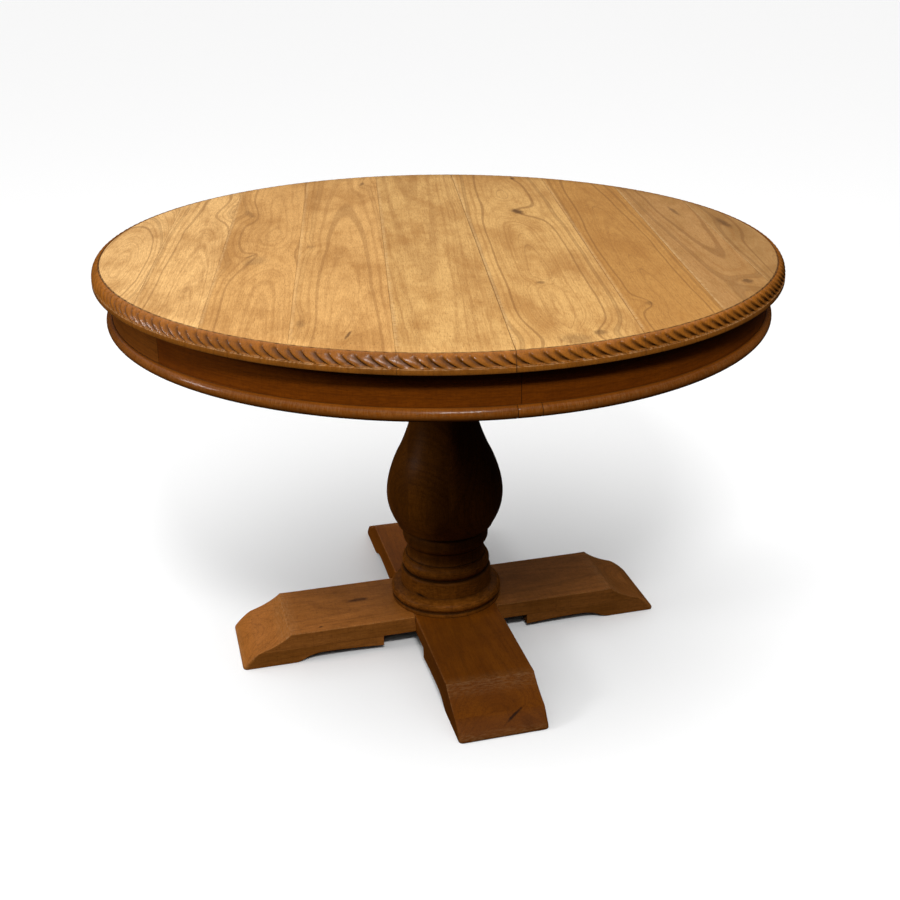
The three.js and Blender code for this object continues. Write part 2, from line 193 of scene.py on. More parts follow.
def grid_faces(rows: int, columns: int, wrap_rows: bool = False) -> list[list[int]]:
    """Quads of a grid whose point (i, j) has the index i * columns + j.

    The last point of each row joins the first, so each row is a closed ring.

    Args:
        rows: number of rows of points.
        columns: number of points in a row.
        wrap_rows: joins the last row to the first too.

    Returns:
        The four point indices of each quad.
    """
    i = np.arange(rows if wrap_rows else rows - 1)[:, None]
    j = np.arange(columns)[None, :]
    i2, j2 = (i + 1) % rows, (j + 1) % columns
    corners = [i * columns + j, i2 * columns + j, i2 * columns + j2, i * columns + j2]
    return np.stack(corners, axis=-1).reshape(-1, 4).tolist()


@dataclass
class Skin:
    """A closed surface on its way to becoming a mesh.

    Attributes:
        name: the piece's name.
        points: places in millimetres, with x, y, z on the last axis.
        faces: quads first, then any caps, as index lists.
        materials: the materials in slot order.
        grain: place in the wood of each point: across, along and into it, in millimetres.
        shade_and_dirt: for each point, how dark it is painted, 1 at the bottom of a groove or open joint:
            painted shade in grooves, cuts and recesses and on the right arm of the base, dirt in joints,
            and a darker front arm.
        wear: 1 on an arris that hands and feet have rubbed, for each point; on the column's lower mouldings
            it also carries painted light.
        face_slots: the material slot of each face, or None for slot 0.
        weld: joins points that coincide, where the surface narrows to a tip.
        sharp: angle in degrees above which an edge stays crisp.
    """

    name: str
    points: Array
    faces: list[list[int]]
    materials: list[Material]
    grain: Array
    shade_and_dirt: Array
    wear: Array
    face_slots: Array | None = None
    weld: bool = False
    sharp: float = 48.0

    def build(self, slot: str, *replaced: str) -> bpy.types.Object:
        """Makes the mesh, fastens it to the root body and hides the CAD nodes it stands for.

        Args:
            slot: the record's material slot; not used.
            replaced: the CAD nodes that this piece replaces.

        Returns:
            The finished object.
        """
        mesh = bpy.data.meshes.new(self.name)
        mesh.from_pydata((self.points.reshape(-1, 3) * MM).tolist(), [], self.faces)
        for material in self.materials:
            mesh.materials.append(material)
        if self.face_slots is not None:
            mesh.polygons.foreach_set("material_index", self.face_slots.astype(np.int32))
        layer = mesh.attributes.new("grain", "FLOAT_VECTOR", "POINT")
        layer.data.foreach_set("vector", (self.grain.reshape(-1, 3) * MM).astype(np.float32).ravel())
        for key, values in (("shade_and_dirt", self.shade_and_dirt), ("wear", self.wear)):
            layer = mesh.attributes.new(key, "FLOAT", "POINT")
            layer.data.foreach_set("value", values.astype(np.float32).ravel())
        mesh.polygons.foreach_set("use_smooth", [True] * len(mesh.polygons))
        mesh.update()
        if self.weld:
            self._weld(mesh)
        if self._volume(mesh) < 0:
            mesh.flip_normals()
        mesh.set_sharp_from_angle(angle=math.radians(self.sharp))
        piece = bpy.data.objects.new(self.name, mesh)
        bpy.context.scene.collection.objects.link(piece)
        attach(piece, "root")
        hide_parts(*replaced)
        log.info("%s: %d faces", self.name, len(mesh.polygons))
        return piece

    @staticmethod
    def _weld(mesh: bpy.types.Mesh) -> None:
        """Merges coinciding points, which closes a tip where the surface narrows to nothing.

        Args:
            mesh: the mesh to mend.
        """
        work = bmesh.new()
        work.from_mesh(mesh)
        bmesh.ops.remove_doubles(work, verts=work.verts, dist=2e-6)
        bmesh.ops.dissolve_degenerate(work, edges=work.edges, dist=1e-7)
        work.to_mesh(mesh)
        work.free()
        mesh.update()

    @staticmethod
    def _volume(mesh: bpy.types.Mesh) -> float:
        """The volume as one sixth of the sum of a . (b x c) over the triangles.

        Args:
            mesh: a closed mesh.

        Returns:
            The volume, which is negative if the faces point inwards.
        """
        mesh.calc_loop_triangles()
        corner = np.empty(len(mesh.vertices) * 3)
        mesh.vertices.foreach_get("co", corner)
        index = np.empty(len(mesh.loop_triangles) * 3, np.int32)
        mesh.loop_triangles.foreach_get("vertices", index)
        tri = corner.reshape(-1, 3)[index].reshape(-1, 3, 3)
        return float(np.einsum("ij,ij->i", tri[:, 0], np.cross(tri[:, 1], tri[:, 2])).sum() / 6)


# ---------------------------------------------------------------- finishes


class GrainSource(Enum):
    """Where a wood finish finds the direction of the grain, with the turn that it needs."""

    ATTRIBUTE = None
    ALONG_X = (0.0, 0.0, math.pi / 2)
    ALONG_Y = (0.0, 0.0, 0.0)
    ALONG_Z = (math.pi / 2, 0.0, 0.0)


@dataclass(frozen=True)
class Knot:
    """A knot or burr in a board.

    Attributes:
        across, along: its middle in the board, in millimetres.
        width, length: half its size across and along the grain, in millimetres.
        pull: how far it pushes the growth rings aside, in millimetres.
        dark: how dark its heart is, from 0 to 1.
        lean: turns it out of line with the grain, in degrees.
    """

    across: float
    along: float
    width: float
    length: float
    pull: float
    dark: float
    lean: float = 0.0


@dataclass(frozen=True)
class Pattern:
    """Noise drawn out along the grain, and the mask that is cut from it.

    Attributes:
        across, along: size of one cell in millimetres.
        detail: how many finer layers are added.
        rough: how strong the finer layers are.
        low, high: the noise at which the mask begins and at which it is full.
    """

    across: float
    along: float
    detail: float
    rough: float
    low: float = 0.0
    high: float = 1.0


# Real fibres and pores are 0.1 to 0.3 mm wide, so both are drawn as coarse as they need to show.
FIBRES = Pattern(1.1, 16, 3, 0.6, 0.40, 0.68)
PORES = Pattern(1.0, 7, 1, 0.4, 0.60, 0.74)
# Colour that drifts over a hand's breadth, over a finger's, and in long streaks.
PATCHES = Pattern(95, 230, 3, 0.6, 0.42, 0.68)
MOTTLE = Pattern(24, 64, 3, 0.6, 0.42, 0.70)
STREAKS = Pattern(7, 260, 3, 0.55, 0.46, 0.72)
# Short marks across the grain, and the ragged bite of a rubbed arris.
CROSS_MARKS = Pattern(14, 2.6, 3, 0.6, 0.46, 0.70)
RUBBING = Pattern(12, 1.8, 4, 0.7, 0.40, 0.66)
# How the grain strays over a board's length, and the ragged edge of a knot.
STRAYING = Pattern(90, 420, 3, 0.5)
KNOT_EDGE = Pattern(7, 12, 3, 0.6)


@dataclass(frozen=True)
class Wood:
    """Mango wood under a clear or stained wax: soft rings, short open pores, drifting colour.

    The board is cut at `heart_depth` from the middle of the trunk, so the growth rings are the
    distance from that axis. Where the axis tilts along the board the rings run out in arches.

    Attributes:
        name: the material's name.
        early, late: the wood between the rings and in them.
        drift: the colour that the wood wanders to in broad patches.
        pore: the colour in the pores.
        hollow, worn_and_lit: the colour of painted shade in grooves and cuts and of dirt in joints, and the
            colour of rubbed arrises and of painted light on the column's lower mouldings.
        source: where the grain direction comes from.
        seed: shifts every pattern.
        heart_across, heart_depth, tilt: the trunk's axis, in millimetres and mm per mm.
        ring: width of a growth ring in millimetres.
        wander: how far the grain strays sideways, in millimetres.
        ring_strength, drift_strength, mottle_strength, fibre_strength, pore_strength: 0 to 1.
        contour_strength: how dark the single thin lines between the growth rings are.
        knots: knots in this piece of wood.
        roughness: base roughness of the wax.
        sheen: how much the wax mirrors its surroundings, where 0.5 is a full gloss film.
        bump: depth of the open grain in millimetres.
        figure: strength of the short marks across the grain.
        wear_and_light_strength: how pale the rubbed arrises and the column's painted light are, from 0 to
            1.
        shade_and_dirt_strength: how much of the wood's colour the painted shade and the dirt in joints
            hide, from 0 to 1.
        hollow_dullness: how much rougher the bottom of a groove is.
        polish, drag: how much smoother and rougher the fibres make the wax.
        broad_rings: how many growth rings lie between two contour lines.
        contour: half the share of the broad rings' noise that a contour line takes.
        knot_reach: how far a knot pushes the rings aside, in sizes of the knot.
        knot_rags: how ragged the edge of a knot is.
    """

    name: str
    early: str
    late: str
    drift: str
    pore: str
    hollow: str = "2A1206"
    worn_and_lit: str = "B98050"
    source: GrainSource = GrainSource.ATTRIBUTE
    seed: float = 0.0
    heart_across: float = 0.0
    heart_depth: float = 60.0
    tilt: float = 0.03
    ring: float = 7.0
    wander: float = 16.0
    ring_strength: float = 0.30
    drift_strength: float = 0.55
    mottle_strength: float = 0.40
    fibre_strength: float = 0.40
    pore_strength: float = 0.35
    contour_strength: float = 0.0
    knots: tuple[Knot, ...] = ()
    roughness: float = 0.5
    sheen: float = 0.18
    bump: float = 0.12
    figure: float = 0.2
    wear_and_light_strength: float = 0.8
    shade_and_dirt_strength: float = 0.92
    hollow_dullness: float = 0.35
    polish: float = 0.07
    drag: float = 0.09
    broad_rings: float = 4.5
    contour: float = 0.009
    knot_reach: float = 3.2
    knot_rags: float = 1.6

    def material(self) -> Material:
        """Builds the node tree: one tinted mask over another, then the gloss and open grain.

        Returns:
            The finished material.
        """
        made, tree, shader = new_material(self.name)
        point = self._point(tree)
        fibres = self._noise(tree, point, FIBRES)
        pores = self._pattern_mask(tree, point, PORES)
        shade_and_dirt = add_node(tree, "ShaderNodeAttribute", {"attribute_name": "shade_and_dirt"}).outputs["Fac"]
        layers = self._layers(tree, point, fibres, pores)
        # Painted shade in grooves, cuts and recesses, and dirt in joints, go over everything.
        layers.append((shade_and_dirt, self.hollow, self.shade_and_dirt_strength))
        colour = linear(self.early)
        for mask, tint, strength in layers:
            amount = add_node(tree, "ShaderNodeMath", TIMES, {0: mask, 1: strength})
            blended = {0: amount.outputs[0], 6: colour, 7: linear(tint)}
            colour = add_node(tree, "ShaderNodeMix", {"data_type": "RGBA"}, blended).outputs[2]
        smooth, rough = self.roughness - self.polish, self.roughness + self.drag
        spread = {"Value": fibres, "To Min": smooth, "To Max": rough}
        gloss = add_node(tree, "ShaderNodeMapRange", inputs=spread).outputs[0]
        dulled = {0: shade_and_dirt, 1: self.hollow_dullness, 2: gloss}
        dull = add_node(tree, "ShaderNodeMath", {**TIMES_PLUS, "use_clamp": True}, dulled)
        height = add_node(tree, "ShaderNodeMath", TIMES_PLUS, {0: pores, 1: -1.0, 2: fibres})
        relief = {"Strength": 0.6, "Distance": self.bump * MM, "Height": height.outputs[0]}
        bump = add_node(tree, "ShaderNodeBump", inputs=relief)
        tree.links.new(colour, shader.inputs["Base Color"])
        tree.links.new(dull.outputs[0], shader.inputs["Roughness"])
        tree.links.new(bump.outputs["Normal"], shader.inputs["Normal"])
        shader.inputs["IOR"].default_value = 1.45
        shader.inputs["Specular IOR Level"].default_value = self.sheen
        return made

    def _layers(self, tree: Tree, point: Socket, fibres: Socket, pores: Socket) -> list[tuple]:
        """The masks that lie over the early wood, from the broadest to the finest.

        Args:
            tree: the node tree.
            point: place in the wood.
            fibres: noise of the fibres.
            pores: mask of the pores.

        Returns:
            A mask, a colour and a strength for each layer.
        """
        rings, contours = self._rings(tree, point)
        # Rubbed wear on arrises; on the column's lower mouldings it is partly painted light.
        wear = add_node(tree, "ShaderNodeAttribute", {"attribute_name": "wear"}).outputs["Fac"]
        rubbed = {0: wear, 1: self._pattern_mask(tree, point, RUBBING)}
        worn_and_lit = add_node(tree, "ShaderNodeMath", TIMES, rubbed).outputs[0]
        threads = self._mask(tree, fibres, FIBRES.low, FIBRES.high)
        layers = [
            (self._pattern_mask(tree, point, PATCHES), self.drift, self.drift_strength),
            (self._pattern_mask(tree, point, MOTTLE), self.drift, self.mottle_strength),
            (rings, self.late, self.ring_strength),
            (contours, self.pore, self.contour_strength),
            (self._pattern_mask(tree, point, STREAKS), self.late, self.ring_strength * 0.8),
            (self._pattern_mask(tree, point, CROSS_MARKS), self.late, self.figure),
            (threads, self.late, self.fibre_strength),
            (pores, self.pore, self.pore_strength),
        ]
        for knot in self.knots:
            heart = self._bell(tree, point, knot, 1.0, self.knot_rags)
            layers.append((self._mask(tree, heart, 0.1, 0.42), self.pore, knot.dark))
        return layers + [(worn_and_lit, self.worn_and_lit, self.wear_and_light_strength)]

    def _point(self, tree: Tree) -> Socket:
        """Finds the place in the wood.

        Args:
            tree: the node tree.

        Returns:
            The place across, along and into the grain, in metres.
        """
        if self.source is GrainSource.ATTRIBUTE:
            return add_node(tree, "ShaderNodeAttribute", {"attribute_name": "grain"}).outputs["Vector"]
        place = add_node(tree, "ShaderNodeTexCoord").outputs["Object"]
        turn = {"Vector": place, "Rotation": self.source.value}
        return add_node(tree, "ShaderNodeMapping", inputs=turn).outputs["Vector"]

    def _noise(self, tree: Tree, point: Socket, pattern: Pattern) -> Socket:
        """Noise drawn out along the grain.

        Args:
            tree: the node tree.
            point: place in the wood.
            pattern: its cells and layers.

        Returns:
            The noise, about 0.5 on average.
        """
        across, along = 1 / (pattern.across * MM), 1 / (pattern.along * MM)
        cell = {"Vector": point, "Scale": (across, along, across), "Location": (self.seed * 7.3,) * 3}
        moved = add_node(tree, "ShaderNodeMapping", inputs=cell).outputs["Vector"]
        layers = {"Vector": moved, "Scale": 1.0, "Detail": pattern.detail, "Roughness": pattern.rough}
        return add_node(tree, "ShaderNodeTexNoise", inputs=layers).outputs["Fac"]

    def _mask(self, tree: Tree, value: Socket, low: float, high: float) -> Socket:
        """A soft mask that is 0 below low and 1 above high."""
        ends = {"Value": value, "From Min": low, "From Max": high}
        return add_node(
            tree, "ShaderNodeMapRange", {"interpolation_type": "SMOOTHSTEP"}, ends
        ).outputs[0]

    def _pattern_mask(self, tree: Tree, point: Socket, pattern: Pattern) -> Socket:
        """The soft mask cut from a pattern's noise."""
        return self._mask(tree, self._noise(tree, point, pattern), pattern.low, pattern.high)

    def _rings(self, tree: Tree, point: Socket) -> tuple[Socket, Socket]:
        """Growth rings: noise along the distance from the trunk's axis, pushed out at knots.

        Args:
            tree: the node tree.
            point: place in the wood.

        Returns:
            The mask of the soft bands, and that of the thin lines where broader noise crosses 0.5.
        """
        straying = self._noise(tree, point, STRAYING)
        place = add_node(tree, "ShaderNodeSeparateXYZ", inputs={0: point}).outputs
        strayed = {0: straying, 1: self.wander * MM, 2: place[0]}
        across = add_node(tree, "ShaderNodeMath", TIMES_PLUS, strayed).outputs[0]
        heart = (self.heart_across + self.wander / 2) * MM
        beside = add_node(tree, "ShaderNodeMath", MINUS, {0: across, 1: heart}).outputs[0]
        tilted = {0: place[1], 1: self.tilt, 2: self.heart_depth * MM}
        deep = add_node(tree, "ShaderNodeMath", TIMES_PLUS, tilted).outputs[0]
        below = add_node(tree, "ShaderNodeMath", PLUS, {0: deep, 1: place[2]}).outputs[0]
        offset = add_node(tree, "ShaderNodeCombineXYZ", inputs={0: beside, 1: below}).outputs[0]
        length = add_node(tree, "ShaderNodeVectorMath", {"operation": "LENGTH"}, {0: offset})
        radius = length.outputs["Value"]
        for knot in self.knots:
            push = self._bell(tree, point, knot, self.knot_reach, 0.0)
            pushed = {0: push, 1: knot.pull * MM, 2: radius}
            radius = add_node(tree, "ShaderNodeMath", TIMES_PLUS, pushed).outputs[0]
        band = {"W": radius, "Scale": 1 / (self.ring * MM), "Detail": 2.0, "Roughness": 0.5}
        noise = add_node(tree, "ShaderNodeTexNoise", {"noise_dimensions": "1D"}, band).outputs["Fac"]
        broad = {**band, "Scale": 1 / (self.ring * self.broad_rings * MM), "Detail": 1.0, "Roughness": 0.4}
        swell = add_node(tree, "ShaderNodeTexNoise", {"noise_dimensions": "1D"}, broad).outputs["Fac"]
        level = add_node(tree, "ShaderNodeMath", MINUS, {0: swell, 1: 0.5}).outputs[0]
        off = add_node(tree, "ShaderNodeMath", {"operation": "ABSOLUTE"}, {0: level}).outputs[0]
        away = self._mask(tree, off, 0.0, self.contour)
        contour = add_node(tree, "ShaderNodeMath", MINUS, {0: 1.0, 1: away}).outputs[0]
        return self._mask(tree, noise, 0.44, 0.68), contour

    def _bell(self, tree: Tree, point: Socket, knot: Knot, reach: float, rags: float) -> Socket:
        """A bell round a knot: exp(-(a^2 + b^2)) in its own stretched and leaning axes.

        Args:
            tree: the node tree.
            point: place in the wood.
            knot: the knot.
            reach: the bell's size, in sizes of the knot.
            rags: how much noise eats into its edge.

        Returns:
            The bell, 1 in its middle.
        """
        middle = (knot.across * MM, knot.along * MM, 0.0)
        moved = add_node(tree, "ShaderNodeVectorMath", MINUS, {0: point, 1: middle}).outputs[0]
        lean = {"Vector": moved, "Rotation": (0.0, 0.0, math.radians(knot.lean))}
        leaning = add_node(tree, "ShaderNodeMapping", inputs=lean).outputs["Vector"]
        size = (1 / (knot.width * reach * MM), 1 / (knot.length * reach * MM), 0.0)
        sized = add_node(tree, "ShaderNodeVectorMath", TIMES, {0: leaning, 1: size}).outputs[0]
        pair = {0: sized, 1: sized}
        square = add_node(tree, "ShaderNodeVectorMath", {"operation": "DOT_PRODUCT"}, pair)
        eaten = {0: self._noise(tree, point, KNOT_EDGE), 1: rags, 2: square.outputs["Value"]}
        ragged = add_node(tree, "ShaderNodeMath", TIMES_PLUS, eaten).outputs[0]
        fall = add_node(tree, "ShaderNodeMath", TIMES, {0: ragged, 1: -1.0}).outputs[0]
        return add_node(tree, "ShaderNodeMath", {"operation": "EXPONENT"}, {0: fall}).outputs[0]


@dataclass(frozen=True)
class ZincSteel:
    """Zinc-plated steel: dull grey with a faint mottle, each patch about 4 mm across.

    Attributes:
        name: the material's name.
        base, stain: the clean plating, and where it has dulled.
        smooth, rough: the lowest and highest roughness.
        mottle_cells: patches in a metre.
        relief: depth of the mottle in millimetres.
    """

    name: str = "zinc_plated_steel"
    base: str = "9C9C98"
    stain: str = "6E6A62"
    smooth: float = 0.32
    rough: float = 0.58
    mottle_cells: float = 260.0
    relief: float = 0.05

    def material(self) -> Material:
        """Builds the node tree.

        Returns:
            The finished material.
        """
        made, tree, shader = new_material(self.name)
        place = add_node(tree, "ShaderNodeTexCoord").outputs["Object"]
        cell = {"Vector": place, "Scale": self.mottle_cells, "Detail": 4.0}
        mottle = add_node(tree, "ShaderNodeTexNoise", inputs=cell).outputs["Fac"]
        ramp = add_node(tree, "ShaderNodeValToRGB", inputs={"Fac": mottle})
        for element, at, tint in zip(ramp.color_ramp.elements, (0.35, 0.62), (self.stain, self.base)):
            element.position = at
            element.color = linear(tint)
        spread = {"Value": mottle, "To Min": self.smooth, "To Max": self.rough}
        gloss = add_node(tree, "ShaderNodeMapRange", inputs=spread)
        relief = {"Strength": 0.3, "Distance": self.relief * MM, "Height": mottle}
        bump = add_node(tree, "ShaderNodeBump", inputs=relief)
        tree.links.new(ramp.outputs["Color"], shader.inputs["Base Color"])
        tree.links.new(gloss.outputs[0], shader.inputs["Roughness"])
        tree.links.new(bump.outputs["Normal"], shader.inputs["Normal"])
        shader.inputs["Metallic"].default_value = 1.0
        return made


# ---------------------------------------------------------------- sub-assemblies


class BoardSlot(IntEnum):
    """The finish of each face of a board, in the order of its material slots."""

    FACE = 0
    EDGE = 1
    UNDER = 2


@dataclass
class BoardedTop:
    """Nine boards, their shared rope-carved edge and the plain strip below it.

    Each board is one closed surface. Its columns step across the board and its rows run round
    the board's long section: up the front edge, back along the face, down the back edge and
    forward along the underside.

    Attributes:
        turn: angle of the boards in degrees, anticlockwise from above.
        joints: places of the joints, square to the boards.
        gap: width of a joint.
        radius, face_radius: radius of the top, and of its sanded face.
        roll_radius, roll_bottom: where the rope roll begins, and its foot.
        top, underside: heights of the face and of the underside.
        strands, carve_depth: strands of the rope round the edge, and the deepest cut.
        lean, lean_power: how far a crest leans, in strands, and how late it does.
        crest: share of a strand that its steep face takes.
        joint_shade: how dark each joint is, from left to right.
        joint_pale: how much paler the wood is painted to the right of each joint.
        joint_through_edge: how much darker a joint is through the rope and the strip.
        column_pitch, roll_steps, face_rows, under_step: how fine the surface is.
        ease, ease_width: how far the face is eased beside a joint, and how near to it.
        wave: half the height by which planing by hand leaves the face uneven.
    """

    turn: float = 3.8
    joints: tuple[float, ...] = (-489, -381, -250.5, -103, 61, 252.5, 394, 507)
    gap: float = 0.16
    radius: float = 600.0
    face_radius: float = 584.4
    roll_radius: float = 586.5
    roll_bottom: float = 751.0
    top: float = 770.0
    underside: float = 741.0
    strands: int = 188
    carve_depth: float = 3.7
    lean: float = 1.05
    lean_power: float = 2.4
    crest: float = 0.14
    joint_shade: tuple[float, ...] = (0.1, 0.05, 0.08, 0.22, 0.5, 0.25, 0.15, 0.1)
    joint_pale: tuple[float, ...] = (0.5, 0.9, 0.7, 0.8, 0.8, 1.0, 1.0, 0.7)
    joint_through_edge: float = 1.8
    column_pitch: float = 1.25
    roll_steps: int = 20
    face_rows: int = 34
    under_step: int = 6
    ease: float = 0.3
    ease_width: float = 0.7
    wave: float = 0.07

    def build(self, boards: list[Material], edge: Material, under: Material) -> None:
        """Makes the nine boards.

        Args:
            boards: the face material of each board, from left to right.
            edge: the stained material of the rope and the strip.
            under: the bare wood below.
        """
        joints = [-self.radius, *self.joints, self.radius]
        for index, face in enumerate(boards):
            self._board(index, joints[index], joints[index + 1], [face, edge, under])

    def _edge_profile(self) -> tuple[Array, Array, Array]:
        """The edge from the face down to the underside, before carving.

        Returns:
            Places (n, 2) as radius and height, outward normals (n, 2), and the place down the
            rope roll from 0 to 1, which is below 0 above the roll and over 1 below it.
        """
        out, foot = self.radius - self.roll_radius, self.top - self.roll_bottom
        groove = [(self.face_radius, self.top), (585.1, 769.5), (586.0, 768.2), (586.9, 768.3)]
        roll = arc(self.roll_radius, self.roll_bottom, out, foot, 84, 0, self.roll_steps)
        strip = [(599.2, 750.2), (599.9, 749.6), (600.0, 748.6), (600.0, 745.5)]
        strip += [(600.0, 742.6), (599.6, 741.5), (598.7, self.underside)]
        places = np.vstack([groove, roll, strip])
        tangent = np.gradient(places, axis=0)
        normals = np.column_stack([-tangent[:, 1], tangent[:, 0]])
        normals /= np.linalg.norm(normals, axis=1)[:, None]
        above, below = [-0.3, -0.2, -0.1, -0.02], [1.01, 1.05, 1.1, 1.2, 1.3, 1.4, 1.5]
        return places, normals, np.concatenate([above, np.linspace(0, 1, self.roll_steps), below])

    def _carving(self, azimuth: Array, down: Array) -> Array:
        """How deep the gouge has cut, in millimetres.

        A strand's left edge starts as a short steep face up to its crest, and from there the
        surface falls away slowly to the deepest point just before the next crest. The crests
        lean: they start nearly upright under the groove and sweep along the edge at the foot,
        by a power of the way down. The spacing and the depth vary a little by hand.

        Args:
            azimuth: place round the table in radians, from the front to the right.
            down: place down the roll, from 0 to 1.

        Returns:
            The depth of cut at each point.
        """
        inside = np.clip(down, 0, 1)
        sweep = self.lean * inside**self.lean_power - 0.10 * np.sin(np.pi * inside)
        unsteady = 0.05 * np.sin(azimuth * 23 + 1.3) + 0.035 * np.sin(azimuth * 61 + 0.4)
        count = azimuth * self.strands / (2 * math.pi) - sweep + unsteady
        part = count - np.floor(count)
        strand = np.floor(count).astype(int) % self.strands
        vary = np.random.default_rng(11).uniform(0.78, 1.12, self.strands)[strand]
        rise = 1 - smooth_step(part, 0.0, self.crest)
        behind = np.clip((part - self.crest) / (1 - self.crest), 0, 1)
        shape = np.where(part < self.crest, rise, behind ** (2.3 - 1.3 * inside))
        scoop = smooth_step(inside, 0.04, 0.52) * (1 - 0.8 * smooth_step(inside, 0.9, 1.0))
        depth = (0.10 + 0.90 * scoop) * self.carve_depth * vary
        return np.where((down >= 0) & (down <= 1), shape * depth, 0.0)

    def _columns(self, width: float, tip: bool) -> Array:
        """Steps across a board, close together beside an open joint.

        Args:
            width: the board's width at the edge of the face.
            tip: the board ends at the side of the table, with no joint there.

        Returns:
            The steps, from 0 to 1.
        """
        close, next_step = np.array([0.0, 0.3, 0.6, 1.1, 2.2]), 3.6
        count = max(8, int(width / self.column_pitch))
        middle = np.linspace(next_step, width if tip else width - next_step, count)
        ends = [] if tip else width - close[::-1]
        return np.concatenate([close, middle, ends]) / width

    def _fan(self, left: float, right: float, radius: Array) -> tuple[Array, Array, Array]:
        """The azimuths at which a board's columns meet the edge.

        A joint at x from the middle meets a ring of radius r at the azimuth arcsin(x / r). The
        first and last board have one joint, and end at the side of the table.

        Args:
            left, right: the board's joints.
            radius: radius of each ring of the edge.

        Returns:
            Azimuths (columns, rings), the step of each column from 0 to 1, and its distance
            from the nearest joint in millimetres.
        """
        first, tip = left == -self.radius, self.radius in (-left, right)
        low, high = (right, left) if first else (left, right)
        start = np.arcsin(np.clip((low + self.gap / 2 * (-1 if first else 1)) / radius, -1, 1))
        if tip:
            end = np.full_like(radius, math.copysign(math.pi / 2, high))
        else:
            end = np.arcsin((high - self.gap / 2) / radius)
        width = abs(end[0] - start[0]) * self.face_radius
        steps = self._columns(width, tip)
        beside = np.minimum(steps, steps if tip else 1 - steps) * width
        return start + (end - start) * steps[:, None], steps, beside

    def _edge(self, azimuth: Array, side: int, joint: Array) -> tuple[Array, Array]:
        """The carved edge of a board at one end.

        Args:
            azimuth: azimuths (columns, rings) from the middle of that end.
            side: -1 at the front of the table and 1 at the back.
            joint: how dark the joint is at each column.

        Returns:
            Places (columns, rings, 3), and at each the painted shade of the cuts and the groove with the
            dirt of the joint.
        """
        places, normals, down = self._edge_profile()
        around = azimuth if side < 0 else math.pi - azimuth
        cut = self._carving(around, np.broadcast_to(down, around.shape))
        radius = places[:, 0] - cut * normals[:, 0]
        height = places[:, 1] - cut * normals[:, 1]
        points = np.stack([radius * np.sin(azimuth), side * radius * np.cos(azimuth), height], -1)
        # Painted shade in the gouge cuts and in the groove under the face; dirt where a joint runs through
        # the edge.
        hollow = smooth_step(cut / self.carve_depth, 0.22, 0.85) * 0.75
        patchy = 0.72 + 0.28 * np.sin(around * 210) * np.sin(around * 67 + 2)
        groove = ((down < 0) & (down > -0.25)) * patchy
        through = np.minimum(joint * self.joint_through_edge, 1.0)
        return points, np.maximum(np.maximum(hollow, groove), through)

    def _board(self, index: int, left: float, right: float, materials: list[Material]) -> None:
        """Makes one board between two joints.

        Args:
            index: the board's number from the left, from 0.
            left, right: its joints, in millimetres square to the boards.
            materials: face, edge and underside.
        """
        places, _, down = self._edge_profile()
        azimuth, steps, beside = self._fan(left, right, places[:, 0])
        tip = index in (0, len(self.joints))
        joint = self._joint_line(index, steps, beside, tip)[:, None]
        front, front_shade = self._edge(azimuth, -1, joint)
        back, back_shade = self._edge(azimuth, 1, joint)
        along = np.linspace(0, 1, self.face_rows + 2)[1:-1][None, :, None]
        face = front[:, :1] + (back[:, :1] - front[:, :1]) * along
        uneven = 1 + np.sin(face[:, :, 0] / 31 + index) * np.sin(face[:, :, 1] / 57 + index)
        face[:, :, 2] -= self.wave * uneven * smooth_step(beside, 0, 6)[:, None]
        easing = self.ease * (1 - smooth_step(beside, 0.0, self.ease_width))
        for part in (face, front[:, :4], back[:, :4]):
            part[:, :, 2] -= easing[:, None]
        under = back[:, -1:] + (front[:, -1:] - back[:, -1:]) * along[:, :: self.under_step]
        rubbed = bells(down, ((1.03, 0.05, 0.9), (1.42, 0.05, 0.5)))
        pale = self._pale_line(index, steps, beside)[:, None]
        strips = [
            (front[:, ::-1], front_shade[:, ::-1], rubbed[::-1]),
            (face, joint, pale),
            (back, back_shade, rubbed),
            (under, 0.0, 0.0),
        ]
        loop = np.concatenate([points for points, _, _ in strips], axis=1)
        shade, wear = (
            np.concatenate([np.broadcast_to(strip[i], strip[0].shape[:2]) for strip in strips], axis=1)
            for i in (1, 2)
        )
        columns, ring = loop.shape[:2]
        caps = [list(range(ring))]
        if not tip:
            caps.append([(columns - 1) * ring + i for i in range(ring)])
        row_slots = np.tile(self._row_slots(ring, len(down)), columns - 1)
        Skin(
            name=f"board_{index + 1}",
            points=turned(loop, self.turn),
            faces=grid_faces(columns, ring) + caps,
            materials=materials,
            grain=loop - [0.0, 0.0, self.top],
            shade_and_dirt=shade.ravel(),
            wear=wear.ravel(),
            face_slots=np.concatenate([row_slots, [BoardSlot.UNDER] * len(caps)]),
            weld=tip,
            sharp=42,
        ).build("sanded_top", f"top_board_{index + 1}")

    def _row_slots(self, ring: int, edge_rows: int) -> Array:
        """The finish of each row of faces round a board.

        Args:
            ring: rows round the whole board.
            edge_rows: rows of one carved edge, whose first three points are the groove's lip.

        Returns:
            The material slot of each row.
        """
        slots = np.full(ring, BoardSlot.FACE.value)
        back = edge_rows + self.face_rows
        slots[: edge_rows - 3] = BoardSlot.EDGE
        slots[back + 2 : back + edge_rows - 1] = BoardSlot.EDGE
        slots[back + edge_rows - 1 :] = BoardSlot.UNDER
        return slots

